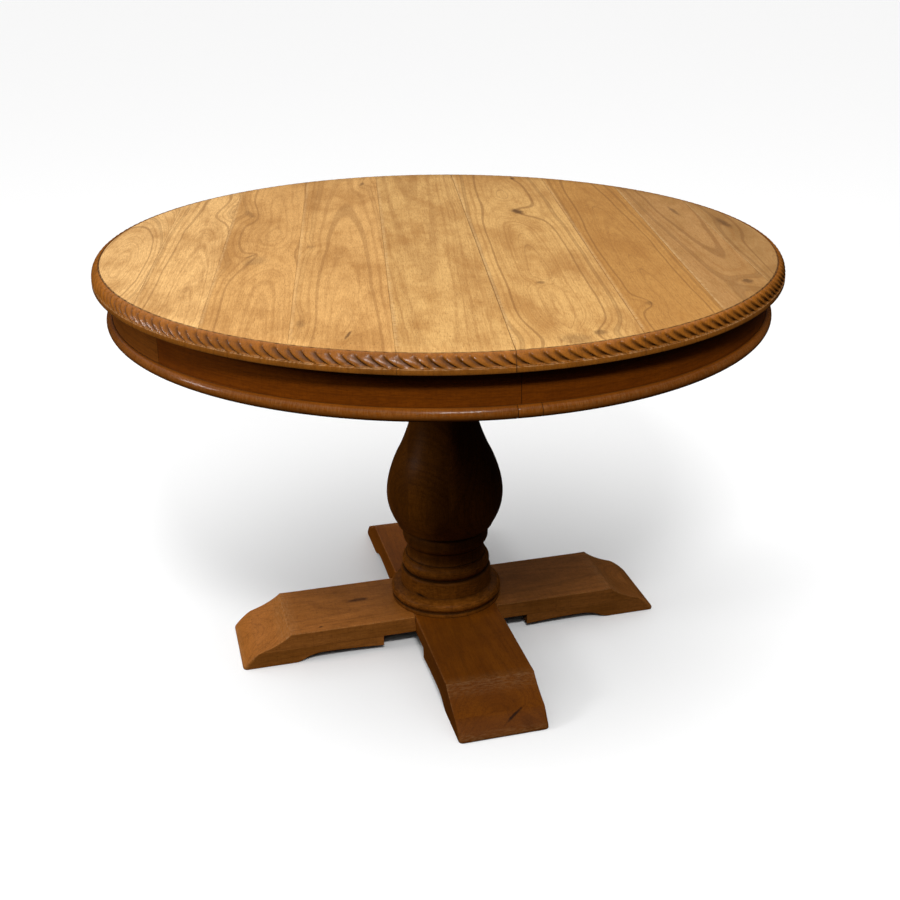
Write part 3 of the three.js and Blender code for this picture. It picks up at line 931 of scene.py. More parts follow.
    def _joint_line(self, index: int, steps: Array, beside: Array, tip: bool) -> Array:
        """Dirt in the joints on both sides of a board, which fades out by 0.9 mm.

        Args:
            index: the board's number from the left, from 0.
            steps: place of each column across the board, from 0 to 1.
            beside: distance of each column from the nearest joint.
            tip: the board has one joint only.

        Returns:
            How dark each column is.
        """
        near = self.joint_shade[max(index - 1, 0)]
        far = near if tip else self.joint_shade[index]
        return np.where(steps < 0.5, near, far) * (1 - smooth_step(beside, 0.2, 0.9))

    def _pale_line(self, index: int, steps: Array, beside: Array) -> Array:
        """Wood painted paler along the right side of a joint, in a band about 5 mm wide."""
        amount = self.joint_pale[index - 1] if index else 0.0
        return np.where(steps < 0.5, amount, 0.0) * bell(beside, 2.5, 3.0)


@dataclass
class CurvedRail:
    """A rail of constant section carried round the table's axis between two azimuths.

    Attributes:
        name: the piece's name.
        profile: (n, 2) closed section as radius and height in millimetres.
        start, end: azimuths in degrees from the front to the right.
        node: the CAD node that it replaces.
        seed: shift of the grain, in metres.
        hollow: painted shade at each point of the section.
        wear: wear of each point of the section.
        clear: gap left at each end.
        ease: length over which each end is eased.
        step: degrees between two sections.
        breathing: half the amount by which the outer face strays from round.
    """

    name: str
    profile: Array
    start: float
    end: float
    node: str
    seed: float
    hollow: Array
    wear: Array
    clear: float = 0.2
    ease: float = 0.5
    step: float = 1.0
    breathing: float = 0.12

    def build(self, material: Material) -> bpy.types.Object:
        """Carries the section round and closes both ends.

        The radius breathes a little over a few hundred millimetres, as a sawn and sanded rail
        does. At each end the last two sections are drawn in towards their middle.

        Args:
            material: its wood.

        Returns:
            The finished rail.
        """
        azimuth = self._azimuths()
        centre = self.profile.mean(axis=0)
        shrink = np.zeros(len(azimuth))
        shrink[[0, -1]], shrink[[1, -2]] = 0.45, 0.12
        inward = centre - self.profile
        inward /= np.linalg.norm(inward, axis=1)[:, None]
        section = self.profile + inward * shrink[:, None, None]
        breathe = -self.breathing * (1 + np.sin(azimuth * 9 + self.seed))[:, None]
        r = section[:, :, 0] + breathe * (self.profile[:, 0] > centre[0])
        z = section[:, :, 1]
        around = azimuth[:, None]
        length = np.broadcast_to(around * self.profile[:, 0].max(), r.shape)
        grain = np.stack([z - centre[1], length, section[:, :, 0] - centre[0]], -1)
        rows, columns = r.shape
        ends = [[row * columns + i for i in range(columns)] for row in (0, rows - 1)]
        shade = np.tile(self.hollow, (rows, 1))
        shade[[0, -1]] = np.maximum(shade[[0, -1]], 0.9)
        return Skin(
            name=self.name,
            points=np.stack([r * np.sin(around), -r * np.cos(around), z], axis=-1),
            faces=grid_faces(rows, columns) + ends,
            materials=[material],
            grain=grain + np.array([self.seed, self.seed * 3.1, 0.0]) / MM,
            shade_and_dirt=shade.ravel(),
            wear=np.tile(self.wear, (rows, 1)).ravel(),
            sharp=50,
        ).build("stained_wood", self.node)

    def _azimuths(self) -> Array:
        """Where the sections stand, close together at both ends.

        Returns:
            The azimuths in radians.
        """
        reach = float(self.profile[:, 0].max())
        first = self.start + math.degrees(self.clear / reach)
        last = self.start + self.end - first
        eased = math.degrees(self.ease / reach)
        count = max(6, int((self.end - self.start) / self.step))
        middle = np.linspace(first + 2 * eased, last - 2 * eased, count)
        return np.radians([first, first + eased, *middle, last - eased, last])


@dataclass
class Apron:
    """Six curved segments butted under the top, with a half-round bead round their foot.

    Attributes:
        outer, thickness: outer radius and thickness of the segments.
        bottom, top: their lower and upper edge.
        first_joint: azimuth of the first joint in degrees, from the front to the right.
        segments: number of segments.
        arris: radius of their arrises.
        bead_radius, bead_bottom: radius of the bead, and its lowest point.
        bead_joints: azimuths of the bead's joints in degrees.
    """

    outer: float = 573.0
    thickness: float = 22.0
    bottom: float = 664.0
    top: float = 740.7
    first_joint: float = 11.0
    segments: int = 6
    arris: float = 1.2
    bead_radius: float = 10.4
    bead_bottom: float = 663.4
    bead_joints: tuple[float, ...] = (13.9, 131.0, 251.0, 370.33)

    def build(self, rail_woods: list[Material], bead_wood: Material) -> None:
        """Makes the segments, the long bead strips and the short filler between two of them.

        Args:
            rail_woods: the wood of each segment, from the front towards the right.
            bead_wood: the wood of the bead.
        """
        section = self._rail_section()
        plain = np.zeros(len(section))
        joints = self.first_joint + np.arange(self.segments + 1) * 360 / self.segments
        for i, wood in enumerate(rail_woods):
            name, node, seed = f"apron_{i + 1}", f"apron_segment_{i + 1}", 1.7 * (i + 1)
            rail = CurvedRail(name, section, joints[i], joints[i + 1], node, seed, plain, plain)
            rail.build(wood)
        spans = [
            (f"bead_{i + 1}", f"bead_strip_{i + 1}", *self.bead_joints[i : i + 2])
            for i in range(len(self.bead_joints) - 1)
        ]
        spans.append(("bead_patch", "bead_filler", self.bead_joints[-1] - 360, self.bead_joints[0]))
        bead, hollow, wear = self._bead_section()
        for name, node, start, end in spans:
            CurvedRail(name, bead, start, end, node, 2.3 + start / 90, hollow, wear).build(bead_wood)

    def _rail_section(self) -> Array:
        """An upright rectangle with small quarter-round arrises.

        Returns:
            The (n, 2) section as radius and height.
        """
        inner, a = self.outer - self.thickness, self.arris
        corners = [
            (self.outer - a, self.top - a, 90, 0),
            (self.outer - a, self.bottom + a, 0, -90),
            (inner + a, self.bottom + a, -90, -180),
            (inner + a, self.top - a, 180, 90),
        ]
        bends = [arc(cx, cy, a, a, start, end, 4) for cx, cy, start, end in corners]
        face = line((self.outer, self.top - 6), (self.outer, self.bottom + 6), 5)
        return np.vstack([bends[0], face, *bends[1:]])

    def _bead_section(self) -> tuple[Array, Array, Array]:
        """A half circle on a flat back, with painted shade where it meets the apron, rubbed on its crown.

        Returns:
            The (n, 2) section as radius and height, its painted shade and its wear.
        """
        inner, middle, points = self.outer + 0.3, self.bead_bottom + self.bead_radius, 22
        bend = np.linspace(-90, 90, points)
        section = arc(inner, middle, self.bead_radius, self.bead_radius, -90, 90, points)
        return section, smooth_step(bend, 74, 90) * 0.9, bell(bend, 25, 32) * 0.55


@dataclass
class TurnedColumn:
    """The turned pear-shaped column, from the base mouldings to the collar under the top.

    Attributes:
        bottom, top: its two ends.
        bore: radius of the hole for the tie rod.
        around: number of steps round it.
        stave: width of the staves that it was glued up from before turning.
        lines: the turner's fine grooves as (height, half-width, depth).
        chip: a chip out of the foot of the band as (azimuth, height, depth).
        shade_bands: painted shade in the quirks, the cove and under the disc, as (height, half-width,
            darkness).
        worn_and_lit_crowns: crowns of the mouldings that are rubbed and carry painted light, as (height,
            half-width, wear).
    """

    bottom: float = 62.7
    top: float = 672.1
    bore: float = 6.6
    around: int = 200
    stave: float = 78.0
    lines: tuple = (
        (161.6, 0.7, 0.45), (164.2, 0.7, 0.36), (168.0, 0.7, 0.36), (178.6, 0.7, 0.27), (236.0, 0.7, 0.1125)
    )
    chip: tuple[float, float, float] = (-0.62, 95.5, 2.2)
    shade_bands: tuple = (
        (71.0, 1.4, 0.9), (127.4, 1.6, 1.0), (157.6, 1.0, 0.8), (184.0, 2.0, 0.6), (218.0, 5.0, 1.0),
        (172.0, 13.0, 0.4), (203.0, 11.0, 0.45), (564.0, 2.0, 0.8), (582.6, 2.0, 0.8), (94.0, 1.2, 0.5),
    )
    worn_and_lit_crowns: tuple = ((84.0, 8.0, 0.45), (110.0, 14.0, 0.35), (143.0, 6.0, 0.4), (66.0, 2.0, 0.3))

    def build(self, material: Material) -> bpy.types.Object:
        """Turns the outline about the Z axis and closes it down the bore.

        Args:
            material: its wood.

        Returns:
            The finished column.
        """
        outline = self._outline()
        outline[:, 0] -= bells(outline[:, 1], self.lines)
        section = np.vstack([outline, [(self.bore, self.top), (self.bore, self.bottom)]])
        outside = section[:, 0] > 20
        angle = np.linspace(0, 2 * math.pi, self.around, endpoint=False)[:, None]
        z = np.broadcast_to(section[:, 1], (self.around, len(section)))
        chip = self._chip(angle, z)
        r = section[:, 0] - chip * outside
        x, y = r * np.sin(angle), -r * np.cos(angle)
        stave = np.floor((x - 8) / self.stave)
        # Painted shade in the quirks, the cove, under the disc and in the chip, and rubbed wear with
        # painted light on the crowns.
        hollow = np.clip(bells(section[:, 1], self.shade_bands), 0, 1) * outside
        wear = np.clip(bells(section[:, 1], self.worn_and_lit_crowns), 0, 1) * outside
        return Skin(
            name="column",
            points=np.stack([x, y, z], axis=-1),
            faces=grid_faces(*r.shape, wrap_rows=True),
            materials=[material],
            grain=np.stack([x + stave * 31, z + stave * 1700, y + stave * 53], axis=-1),
            shade_and_dirt=np.clip(hollow + chip / self.chip[2], 0, 1).ravel(),
            wear=np.tile(wear, (self.around, 1)).ravel(),
        ).build("stained_wood", "turned_column")

    def _outline(self) -> Array:
        """The outline from the foot up: ring, torus, band, torus, cove, disc, bulb and neck.

        Returns:
            The (n, 2) outline as radius and height.
        """
        base_ring = [(104.6, self.bottom), (106.2, 63.4), (106.6, 65.5), (106.4, 68.6), (105.6, 69.9)]
        quirk = [(104.2, 70.4), (103.8, 71.0), (104.4, 71.8)]
        torus = arc(98.3, 81.2, 9.7, 9.9, -62, 84, 26)
        slope = bezier((97.8, 91.6), (92.6, 92.4), (89.6, 93.0), 7)
        corner = [(88.6, 93.4), (88.1, 94.2)]
        band = line((88.0, 95.4), (88.0, 120.0), 14)
        shoulder = arc(82.6, 120.6, 5.4, 6.0, 0, 82, 12)
        upper_quirk = [(82.4, 126.9), (81.2, 127.2), (80.6, 128.0)]
        upper_torus = arc(74.0, 140.5, 11.4, 13.6, -64, 60, 28)
        fillets = [(79.4, 152.6), (78.9, 154.6), (78.6, 156.6), (77.2, 157.4), (76.6, 159.0)]
        cove = bezier((76.3, 159.8), (72.0, 172.0), (77.6, 183.6), 40)
        rim = [(78.2, 184.4), (79.6, 186.0), (81.8, 190.4), (82.8, 197.0), (82.7, 204.0), (81.4, 210.0)]
        undercut = [(79.6, 214.6), (78.2, 217.4), (78.6, 219.6), (81.0, 220.8), (87.0, 221.2)]
        edge = arc(90.6, 223.4, 2.2, 2.2, -85, -14, 7)
        bulb = [(93.3, 225.0), (97.2, 232.6), (102.2, 242.6), (107.6, 257.5), (110.4, 271.0)]
        bulb += [(111.5, 285.0), (110.8, 298.0), (108.9, 311.0), (105.5, 325.5), (99.7, 344.0)]
        bulb += [(92.3, 362.5), (81.9, 384.0), (69.3, 417.3), (60.6, 450.0), (57.0, 490.0)]
        bulb += [(58.2, 526.0), (62.8, 556.0), (64.6, 563.4)]
        collar = arc(64.6, 573.0, 9.4, 9.0, -68, 76, 20)
        flare = [(66.2, 582.6), (67.4, 590), (71.6, 603), (79.4, 617), (83.6, 629), (84, 640)]
        end = [(84.0, 655.0), (84.0, self.top - 1.0), (83.0, self.top)]
        foot = [base_ring, quirk, torus, slope, corner, band, shoulder, upper_quirk, upper_torus]
        waist = [fillets, cove, spline(rim, 6), undercut, edge]
        return np.vstack([*foot, *waist, spline(bulb, 8), collar, spline(flare, 6), end])

    def _chip(self, angle: Array, z: Array) -> Array:
        """The chip: a leaning bell round its middle.

        Args:
            angle: place round the column in radians.
            z: height.

        Returns:
            Its depth in millimetres.
        """
        at, height, depth = self.chip
        around = np.arctan2(np.sin(angle - at), np.cos(angle - at))
        return depth * np.exp(-((around / 0.13) ** 2) - ((z - height + around * 12) / 1.9) ** 2)


class Direction(Enum):
    """The four arms of the base, by their azimuth in degrees anticlockwise from +X."""

    RIGHT = 0
    BACK = 90
    LEFT = 180
    FRONT = 270


# How much darker each arm is painted, from 0 to 1: painted shade on the right arm, where the column's
# shadow falls and the light is dimmer, and a darker tone on the front arm.
ARM_SHADE_AND_TONE = {Direction.RIGHT: 0.42, Direction.BACK: 0.0, Direction.LEFT: 0.0, Direction.FRONT: 0.5}


@dataclass
class Limb:
    """One sawn piece of the base.

    Attributes:
        name: the piece's name.
        side: (n, 2) closed side view as distance along the arm and height.
        azimuth: turn about the table's axis in degrees, before the base's own.
        wood: its material.
        node: the CAD node that it replaces.
        shade_and_tone: how much darker it is painted towards the negative and the positive end, as painted
            shade on the right arm and a darker tone on the front arm.
    """

    name: str
    side: Array
    azimuth: float
    wood: Material
    node: str
    shade_and_tone: tuple[float, float]


@dataclass
class CrossBase:
    """Two beams halved together and four pads under their ends, turned a little under the top.

    Attributes:
        turn: turn of the whole base in degrees, anticlockwise from above.
        width: width of the beams and the pads.
        top: height of the beams.
        glue_line, pad_top: underside of the beams and top of the pads, which almost touch.
        reach: how far the toes reach from the middle.
        brow: where the top of an arm breaks over into its toe.
        pad_start: where a pad begins.
        lap, play: half the width of the halving, and the gap in it.
        arris: radius of the beams' arrises.
        bend, beyond: steps round an arris in degrees from the side face, and past it in mm.
        face_inset: how far the first step is drawn in, in radii of the arris.
        bend_wear: wear at each step round an arris.
        inner_rows, inner_margin: rows between the two faces, and how far in they begin.
        brow_wear: wear along the brow.
        toe_round: radius of the toe's upright corners.
    """

    turn: float = 13.85
    width: float = 163.0
    top: float = 62.4
    glue_line: float = 30.87
    pad_top: float = 30.83
    reach: float = 413.0
    brow: float = 322.0
    pad_start: float = 144.0
    lap: float = 81.8
    play: float = 0.15
    arris: float = 1.9
    bend: tuple[float, ...] = (90, 90, 68, 45, 22, 0)
    beyond: tuple[float, ...] = (1.5, 3.5, 7.0, 13.0)
    face_inset: float = 1.25
    bend_wear: tuple[float, ...] = (0, 0.25, 0.9, 1.0, 0.9, 0.3)
    inner_rows: int = 16
    inner_margin: float = 22.0
    brow_wear: float = 0.55
    toe_round: float = 8.0

    def build(self, woods: dict[str, Material]) -> None:
        """Makes the two beams and the four pads.

        Args:
            woods: the wood of each piece, by the piece's name.
        """
        beams = [
            ("long_beam", "front_back_beam", False, Direction.FRONT, Direction.BACK),
            ("cross_beam", "left_right_beam", True, Direction.LEFT, Direction.RIGHT),
        ]
        for name, node, notch_above, start, end in beams:
            shade_and_tone, side = (ARM_SHADE_AND_TONE[start], ARM_SHADE_AND_TONE[end]), self._beam(notch_above)
            self._extrude(Limb(name, side, end.value, woods[name], node, shade_and_tone))
        for arm in Direction:
            name, node = f"{arm.name.lower()}_pad", f"{arm.name.lower()}_foot_pad"
            shade_and_tone = (ARM_SHADE_AND_TONE[arm], ARM_SHADE_AND_TONE[arm])
            self._extrude(Limb(name, self._pad(), arm.value, woods[name], node, shade_and_tone))

    def _ogee(self) -> Array:
        """The end from the top arris down to the blunt toe: a hollow, then a round.

        Returns:
            The (n, 2) curve as distance along the arm and height.
        """
        break_round = arc(320.2, self.top - 1.3, 1.5, 1.3, 90, 50, 3)
        hollow = bezier((321.4, self.top - 0.7), (345.5, 42.8), (378.0, 32.4), 26)
        nose = bezier((378.0, 32.4), (392.2, 27.9), (409.0, 9.6), 18)
        toe = bezier((409.0, 9.6), (self.reach, 5.2), (self.reach - 0.2, 2.4), 6)
        foot = bezier((self.reach - 0.3, 1.8), (self.reach - 0.6, 0.1), (self.reach - 3.0, 0.0), 4)
        return np.vstack([break_round, hollow, nose[1:], toe[1:], foot])

    def _split(self, above: bool) -> Array:
        """The part of the ogee above or below the glue line, cut exactly at the line.

        Args:
            above: takes the upper part, which belongs to the beam.

        Returns:
            The (n, 2) part of the curve.
        """
        curve = self._ogee()
        level = self.glue_line if above else self.pad_top
        crossing = np.argmax(curve[:, 1] < level)
        a, b = curve[crossing - 1], curve[crossing]
        on_line = a + (b - a) * (a[1] - level) / (a[1] - b[1])
        return np.vstack([curve[:crossing], on_line] if above else [on_line, curve[crossing:]])

    def _notched(self, level: float, reach: float, play: float, steps: int) -> Array:
        """A straight edge of a beam with the notch of the halving in its middle.

        Args:
            level: height of the edge.
            reach: where it starts. It ends as far away on the other side.
            play: how far the notch's floor lies above half the beam's height.
            steps: points on each side of the notch.

        Returns:
            The (n, 2) edge.
        """
        floor = (self.top + self.glue_line) / 2 + play
        lap, beside = math.copysign(self.lap, reach), math.copysign(self.lap + 8, reach)
        notch = [(lap, level), (lap, floor), (-lap, floor), (-lap, level)]
        half = line((reach, level), (beside, level), steps)
        return np.vstack([half, notch, half[::-1] * [-1, 1]])

    def _beam(self, notch_above: bool) -> Array:
        """Side view of a beam.

        Args:
            notch_above: the halving is cut from above, not from below.

        Returns:
            The (n, 2) closed outline.
        """
        end = self._split(above=True)
        if notch_above:
            upper = self._notched(self.top, 300, -self.play, 14)
            lower = line((-360, self.glue_line), (360, self.glue_line), 30)
        else:
            upper = line((300, self.top), (-300, self.top), 40)
            lower = self._notched(self.glue_line, -360, self.play, 12)
        return np.vstack([end[::-1], upper, end * [-1, 1], lower])

    def _pad(self) -> Array:
        """Side view of a pad: glued top, ogee toe, sole, and the low arch behind the sole.

        Returns:
            The (n, 2) closed outline.
        """
        sole = line((400.0, 0.0), (316.0, 0.0), 8)
        heel = bezier((311.0, 0.2), (302.0, 2.5), (295.0, 7.0), 7)
        rise = bezier((295.0, 7.0), (281.0, 14.0), (262.0, 15.0), 10)[1:]
        arch = bezier((248.0, 15.0), (200.0, 14.5), (self.pad_start, 10.0), 10)
        back = line((self.pad_start, 16.0), (self.pad_start, 26.0), 3)
        glued = line((self.pad_start, self.pad_top), (372.0, self.pad_top), 24)
        return np.vstack([self._split(above=False), sole, heel, rise, arch, back, glued])

    @staticmethod
    def _fill(outline: Array) -> list[list[int]]:
        """Triangles that fill a closed outline with notches.

        Args:
            outline: (n, 2) corners in order.

        Returns:
            Triangles of corner numbers.
        """
        count = len(outline)
        corners = [Vector(p) for p in outline.tolist()]
        edges = [(i, (i + 1) % count) for i in range(count)]
        made = delaunay_2d_cdt(corners, edges, [], 1, 1e-6)
        if len(made[0]) != count:
            raise ValueError(f"the outline crosses itself: {len(made[0])} corners from {count}")
        return [[made[3][i][0] for i in face] for face in made[2]]

    def _extrude(self, limb: Limb) -> None:
        """Carries a side view across the foot, with its arrises rounded at both faces.

        Args:
            limb: the piece to make.
        """
        side = limb.side
        is_beam = side[:, 1].max() > self.glue_line + 5
        seam = np.abs(side[:, 1] - (self.glue_line if is_beam else self.pad_top)) < 0.05
        plan, v = self._plan(side, self._arris_radius(side, seam, is_beam))
        u, z = plan[:, :, 0], plan[:, :, 1]
        rows, columns = v.shape
        faces = grid_faces(rows, columns)
        for row in (0, rows - 1):
            faces += [[row * columns + i for i in cap] for cap in self._fill(plan[row])]
        inside = np.ones((rows, 1))
        inside[[0, -1]] = 0.0
        seam_dark = np.where(seam, 0.85, 0.0) * (1 - smooth_step(np.abs(side[:, 0]), 230, 300))
        # Painted shade on the right arm and a darker tone on the front arm, growing from the middle towards
        # the end.
        stain = limb.shade_and_tone[0] * smooth_step(-u, 20, 150) + limb.shade_and_tone[1] * smooth_step(u, 20, 150)
        Skin(
            name=limb.name,
            points=turned(np.stack([u, v, z], axis=-1), limb.azimuth + self.turn),
            faces=faces,
            materials=[limb.wood],
            grain=np.stack([v, u, z], axis=-1),
            shade_and_dirt=np.maximum(seam_dark * inside, stain).ravel(),
            wear=self._wear(side, u, z, inside).ravel(),
            sharp=40,
        ).build("stained_wood", limb.node)

    def _arris_radius(self, side: Array, seam: Array, is_beam: bool) -> Array:
        """The radius of the arris at each point of a side view.

        It is smallest at the glue line and at the brow, so that the rounding never folds over.

        Args:
            side: (n, 2) side view.
            seam: which of its points lie on the glue line.
            is_beam: it is a beam, not a pad.

        Returns:
            The radius at each point.
        """
        along = np.abs(side[:, 0])
        if is_beam:
            curve = self._ogee()[:30]
            above = np.interp(along, curve[:, 0], curve[:, 1]) - self.glue_line
            at_brow = 0.8 + 0.3 * np.abs(along - 320.9)
            radius = np.minimum(np.minimum(self.arris, at_brow), 0.02 + 0.13 * above)
            return np.where(seam, np.minimum(0.15, 0.01 + 0.05 * above), radius)
        near_seam = np.clip((self.pad_top - side[:, 1]) / 9.0, 0.08, 1.0)
        return np.where(seam, 0.15, (1.2 + 0.4 * smooth_step(along, 330, 380)) * near_seam)

    def _plan(self, side: Array, radius: Array) -> tuple[Array, Array]:
        """Side views from face to face, and where they lie across the foot.

        Near each face the outline moves inwards by a(1 - cos t) while it moves out to the face
        by a sin t, so the arris is a quarter round of radius a. The toe is rounded in plan, by
        r - sqrt(r^2 - d^2), where d is how far a row lies inside the corner's radius r.

        Args:
            side: (n, 2) side view.
            radius: radius of the arris at each of its points.

        Returns:
            Side views (rows, n, 2) and the places (rows, n) across the foot.
        """
        nudge = np.roll(side, -1, axis=0) - np.roll(side, 1, axis=0)
        normal = np.column_stack([nudge[:, 1], -nudge[:, 0]])
        area = np.sum(side[:, 0] * np.roll(side[:, 1], -1) - np.roll(side[:, 0], -1) * side[:, 1])
        normal *= math.copysign(1, area) / (np.linalg.norm(normal, axis=1)[:, None] + 1e-9)
        bend, flat = np.radians(self.bend), np.zeros(len(self.beyond))
        inset = np.concatenate([1 - np.cos(bend), flat])
        inset[0] = self.face_inset
        out = np.concatenate([1 - np.sin(bend), flat + 1.0])
        extra = np.concatenate([np.zeros(len(bend)), self.beyond])
        half = self.width / 2
        inner = half - self.inner_margin
        across = half - out[:, None] * radius - extra[:, None]
        middle = np.repeat(np.linspace(inner, -inner, self.inner_rows)[:, None], len(side), axis=1)
        v = np.concatenate([across, middle, -across[::-1]])
        moved = side - normal * (inset[:, None] * radius)[:, :, None]
        plan = np.concatenate([moved, np.repeat(side[None], self.inner_rows, axis=0), moved[::-1]])
        from_face = np.clip(self.toe_round - (half - np.abs(v)), 0, self.toe_round)
        rounded = self.toe_round - np.sqrt(self.toe_round**2 - from_face**2)
        at_toe = smooth_step(np.abs(plan[:, :, 0]), 372, self.reach)
        plan[:, :, 0] -= np.sign(plan[:, :, 0]) * rounded * at_toe
        return plan, v

    def _wear(self, side: Array, u: Array, z: Array, inside: Array) -> Array:
        """Pale wood where shoes have rubbed: the upper arrises, the brow and the toe.

        Args:
            side: (n, 2) side view.
            u, z: distance along the arm and height of each point.
            inside: 0 on the two outermost rows and 1 between them.

        Returns:
            The wear at each point, from 0 to 1.
        """
        arris = np.concatenate([self.bend_wear, np.zeros(len(self.beyond))])
        edge = np.concatenate([arris, np.zeros(self.inner_rows), arris[::-1]])[:, None]
        upper = smooth_step(z, 30, 40) + 0.8 * smooth_step(np.abs(side[:, 0]), 330, 380)
        past = np.abs(u) - self.brow
        band = 0.55 * smooth_step(past, -2, 3) * (1 - smooth_step(past, 8, 30))
        brow = np.maximum(bell(past, 0.0, 3.0), band) * smooth_step(z, 42, 48)
        toe = 0.45 * smooth_step(np.abs(u), 402, self.reach)
        return np.clip(edge * upper * 0.32 + (brow * self.brow_wear + toe) * inside, 0, 1)


@dataclass
class Underframe:
    """Battens, bearers, plate, blocks and fixings, which keep their CAD shapes.

    Attributes:
        crosswise, lengthwise: nodes whose grain runs along X and along Y.
        steel_words: words in the names of the steel fixings.
    """

    crosswise: tuple[str, ...] = ("front_batten", "back_batten", "long_bearer")
    lengthwise: tuple[str, ...] = ("short_bearer", "top_plate")
    steel_words: tuple[str, ...] = ("screw", "nut", "washer", "tie_rod")

    def dress(self, woods: dict[GrainSource, Material], steel: Material) -> None:
        """Gives each remaining CAD node the wood or metal that it is made of.

        Args:
            woods: bare wood by grain direction.
            steel: the plated steel of the fixings.
        """
        for name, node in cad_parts.items():
            if node.hide_render:
                continue
            if any(word in name for word in self.steel_words):
                chosen = steel
            elif name in self.crosswise:
                chosen = woods[GrainSource.ALONG_X]
            elif name in self.lengthwise:
                chosen = woods[GrainSource.ALONG_Y]
            else:
                chosen = woods[GrainSource.ALONG_Z]
            node.data.materials.clear()
            node.data.materials.append(chosen)
            log.info("%s: dressed in %s", name, chosen.name)


@dataclass(frozen=True)
class Lamp:
    """A soft rectangular lamp that faces a point.

    Attributes:
        name: the lamp's name.
        place, aim: where it hangs and the point that it faces, in metres.
        size: its width and height in metres.
        power: its power in watts.
    """

    name: str
    place: tuple[float, float, float]
    aim: tuple[float, float, float]
    size: tuple[float, float]
    power: float

    def hang(self) -> None:
        """Makes the lamp and turns it to its point."""
        data = bpy.data.lights.new(self.name, "AREA")
        data.shape = "RECTANGLE"
        data.size, data.size_y = self.size
        data.energy = self.power
        lamp = bpy.data.objects.new(self.name, data)
        lamp.location = self.place
        lamp.rotation_mode = "QUATERNION"
        lamp.rotation_quaternion = (Vector(self.aim) - Vector(self.place)).to_track_quat("-Z", "Y")
        bpy.context.scene.collection.objects.link(lamp)


@dataclass
class Studio:
    """Pale floor, soft daylight and the camera in front of the table.

    Attributes:
        lens, sensor: focal length and width of the film in millimetres.
        distance, height: the camera's place in metres, in front of the table and above the floor.
        pitch, yaw, roll: how far it looks down, to the right and leans, in degrees.
        shift: sideways shift of the lens, in widths of the picture.
        floor_half: half the floor's width in metres.
        sky_axis: the direction in which the sky brightens.
        sky_stops: brightness of the sky by how far a direction lies along that axis.
        key, side: the lamp in front, and the one at the left.
    """

    lens: float = 51.89
    sensor: float = 36.0
    distance: float = 2.2579
    height: float = 1.3570
    pitch: float = 23.647
    yaw: float = 2.537
    roll: float = 0.27
    shift: float = -0.0522
    floor_half: float = 60.0
    sky_axis: tuple[float, float, float] = (-0.14, 0.03, 0.99)
    sky_stops: tuple = ((0.0, 0.01), (0.38, 0.04), (0.74, 1.22), (0.9, 1.60))
    key: Lamp = Lamp("key", (0.25, -2.85, 3.25), (0.0, -0.3, 0.5), (1.0, 0.4), 76.0)
    side: Lamp = Lamp("window_left", (-2.6, -0.6, 1.35), (0.0, 0.0, 0.35), (0.6, 0.5), 19.0)

    def build(self) -> None:
        """Makes the camera, the floor, the sky and the lamps."""
        self._camera()
        self._floor()
        self._sky()
        for lamp in (self.key, self.side):
            lamp.hang()

    def _camera(self) -> None:
        """The camera looks down by the pitch, turned by the yaw and the small roll."""
        data = bpy.data.cameras.new("camera")
        data.lens = self.lens
        data.sensor_width = self.sensor
        data.shift_x = self.shift
        data.clip_end = 200.0
        camera = bpy.data.objects.new("camera", data)
        place = Matrix.Translation((0.0, -self.distance, self.height))
        turn = Matrix.Rotation(-math.radians(self.yaw), 4, "Z")
        tip = Matrix.Rotation(math.radians(90 - self.pitch), 4, "X")
        lean = Matrix.Rotation(math.radians(self.roll), 4, "Z")
        camera.matrix_world = place @ turn @ tip @ lean
        bpy.context.scene.collection.objects.link(camera)
        bpy.context.scene.camera = camera

    def _floor(self) -> None:
        """A plain white matt floor, which throws no light back onto the table."""
        half = self.floor_half
        corners = [(-half, -half, 0), (half, -half, 0), (half, half, 0), (-half, half, 0)]
        mesh = bpy.data.meshes.new("floor")
        mesh.from_pydata(corners, [], [(0, 1, 2, 3)])
        floor = bpy.data.objects.new("floor", mesh)
        bpy.context.scene.collection.objects.link(floor)
        made, _, shader = new_material("white_cyclorama_paint")
        shader.inputs["Base Color"].default_value = linear("FFFFFF")
        shader.inputs["Roughness"].default_value = 0.9
        shader.inputs["Specular IOR Level"].default_value = 0.1
        mesh.materials.append(made)
        floor.visible_diffuse = False
        floor.visible_glossy = False

    def _sky(self) -> None:
        """Daylight that is bright overhead and dim near the floor, white behind the table."""
        world = bpy.data.worlds.new("daylight")
        bpy.context.scene.world = world
        world.use_nodes = True
        tree = world.node_tree
        tree.nodes.clear()
        place = add_node(tree, "ShaderNodeTexCoord").outputs["Generated"]
        axis = {0: place, 1: self.sky_axis}
        height = add_node(tree, "ShaderNodeVectorMath", {"operation": "DOT_PRODUCT"}, axis)
        ramp = add_node(tree, "ShaderNodeValToRGB", inputs={"Fac": height.outputs["Value"]})
        while len(ramp.color_ramp.elements) < len(self.sky_stops):
            ramp.color_ramp.elements.new(0.5)
        for element, (at, level) in zip(ramp.color_ramp.elements, self.sky_stops):
            element.position = at
            element.color = (level, level, level, 1.0)
        sky = add_node(tree, "ShaderNodeBackground", inputs={"Color": ramp.outputs["Color"]})
        white = add_node(tree, "ShaderNodeBackground", inputs={"Color": (1.0, 1.0, 1.0, 1.0)})
        ray = add_node(tree, "ShaderNodeLightPath").outputs["Is Camera Ray"]
        shown = {0: ray, 1: sky.outputs[0], 2: white.outputs[0]}
        mixed = add_node(tree, "ShaderNodeMixShader", inputs=shown)
        add_node(tree, "ShaderNodeOutputWorld", inputs={0: mixed.outputs[0]})
        bpy.context.scene.view_settings.view_transform = "Standard"


# ---------------------------------------------------------------- choice of woods


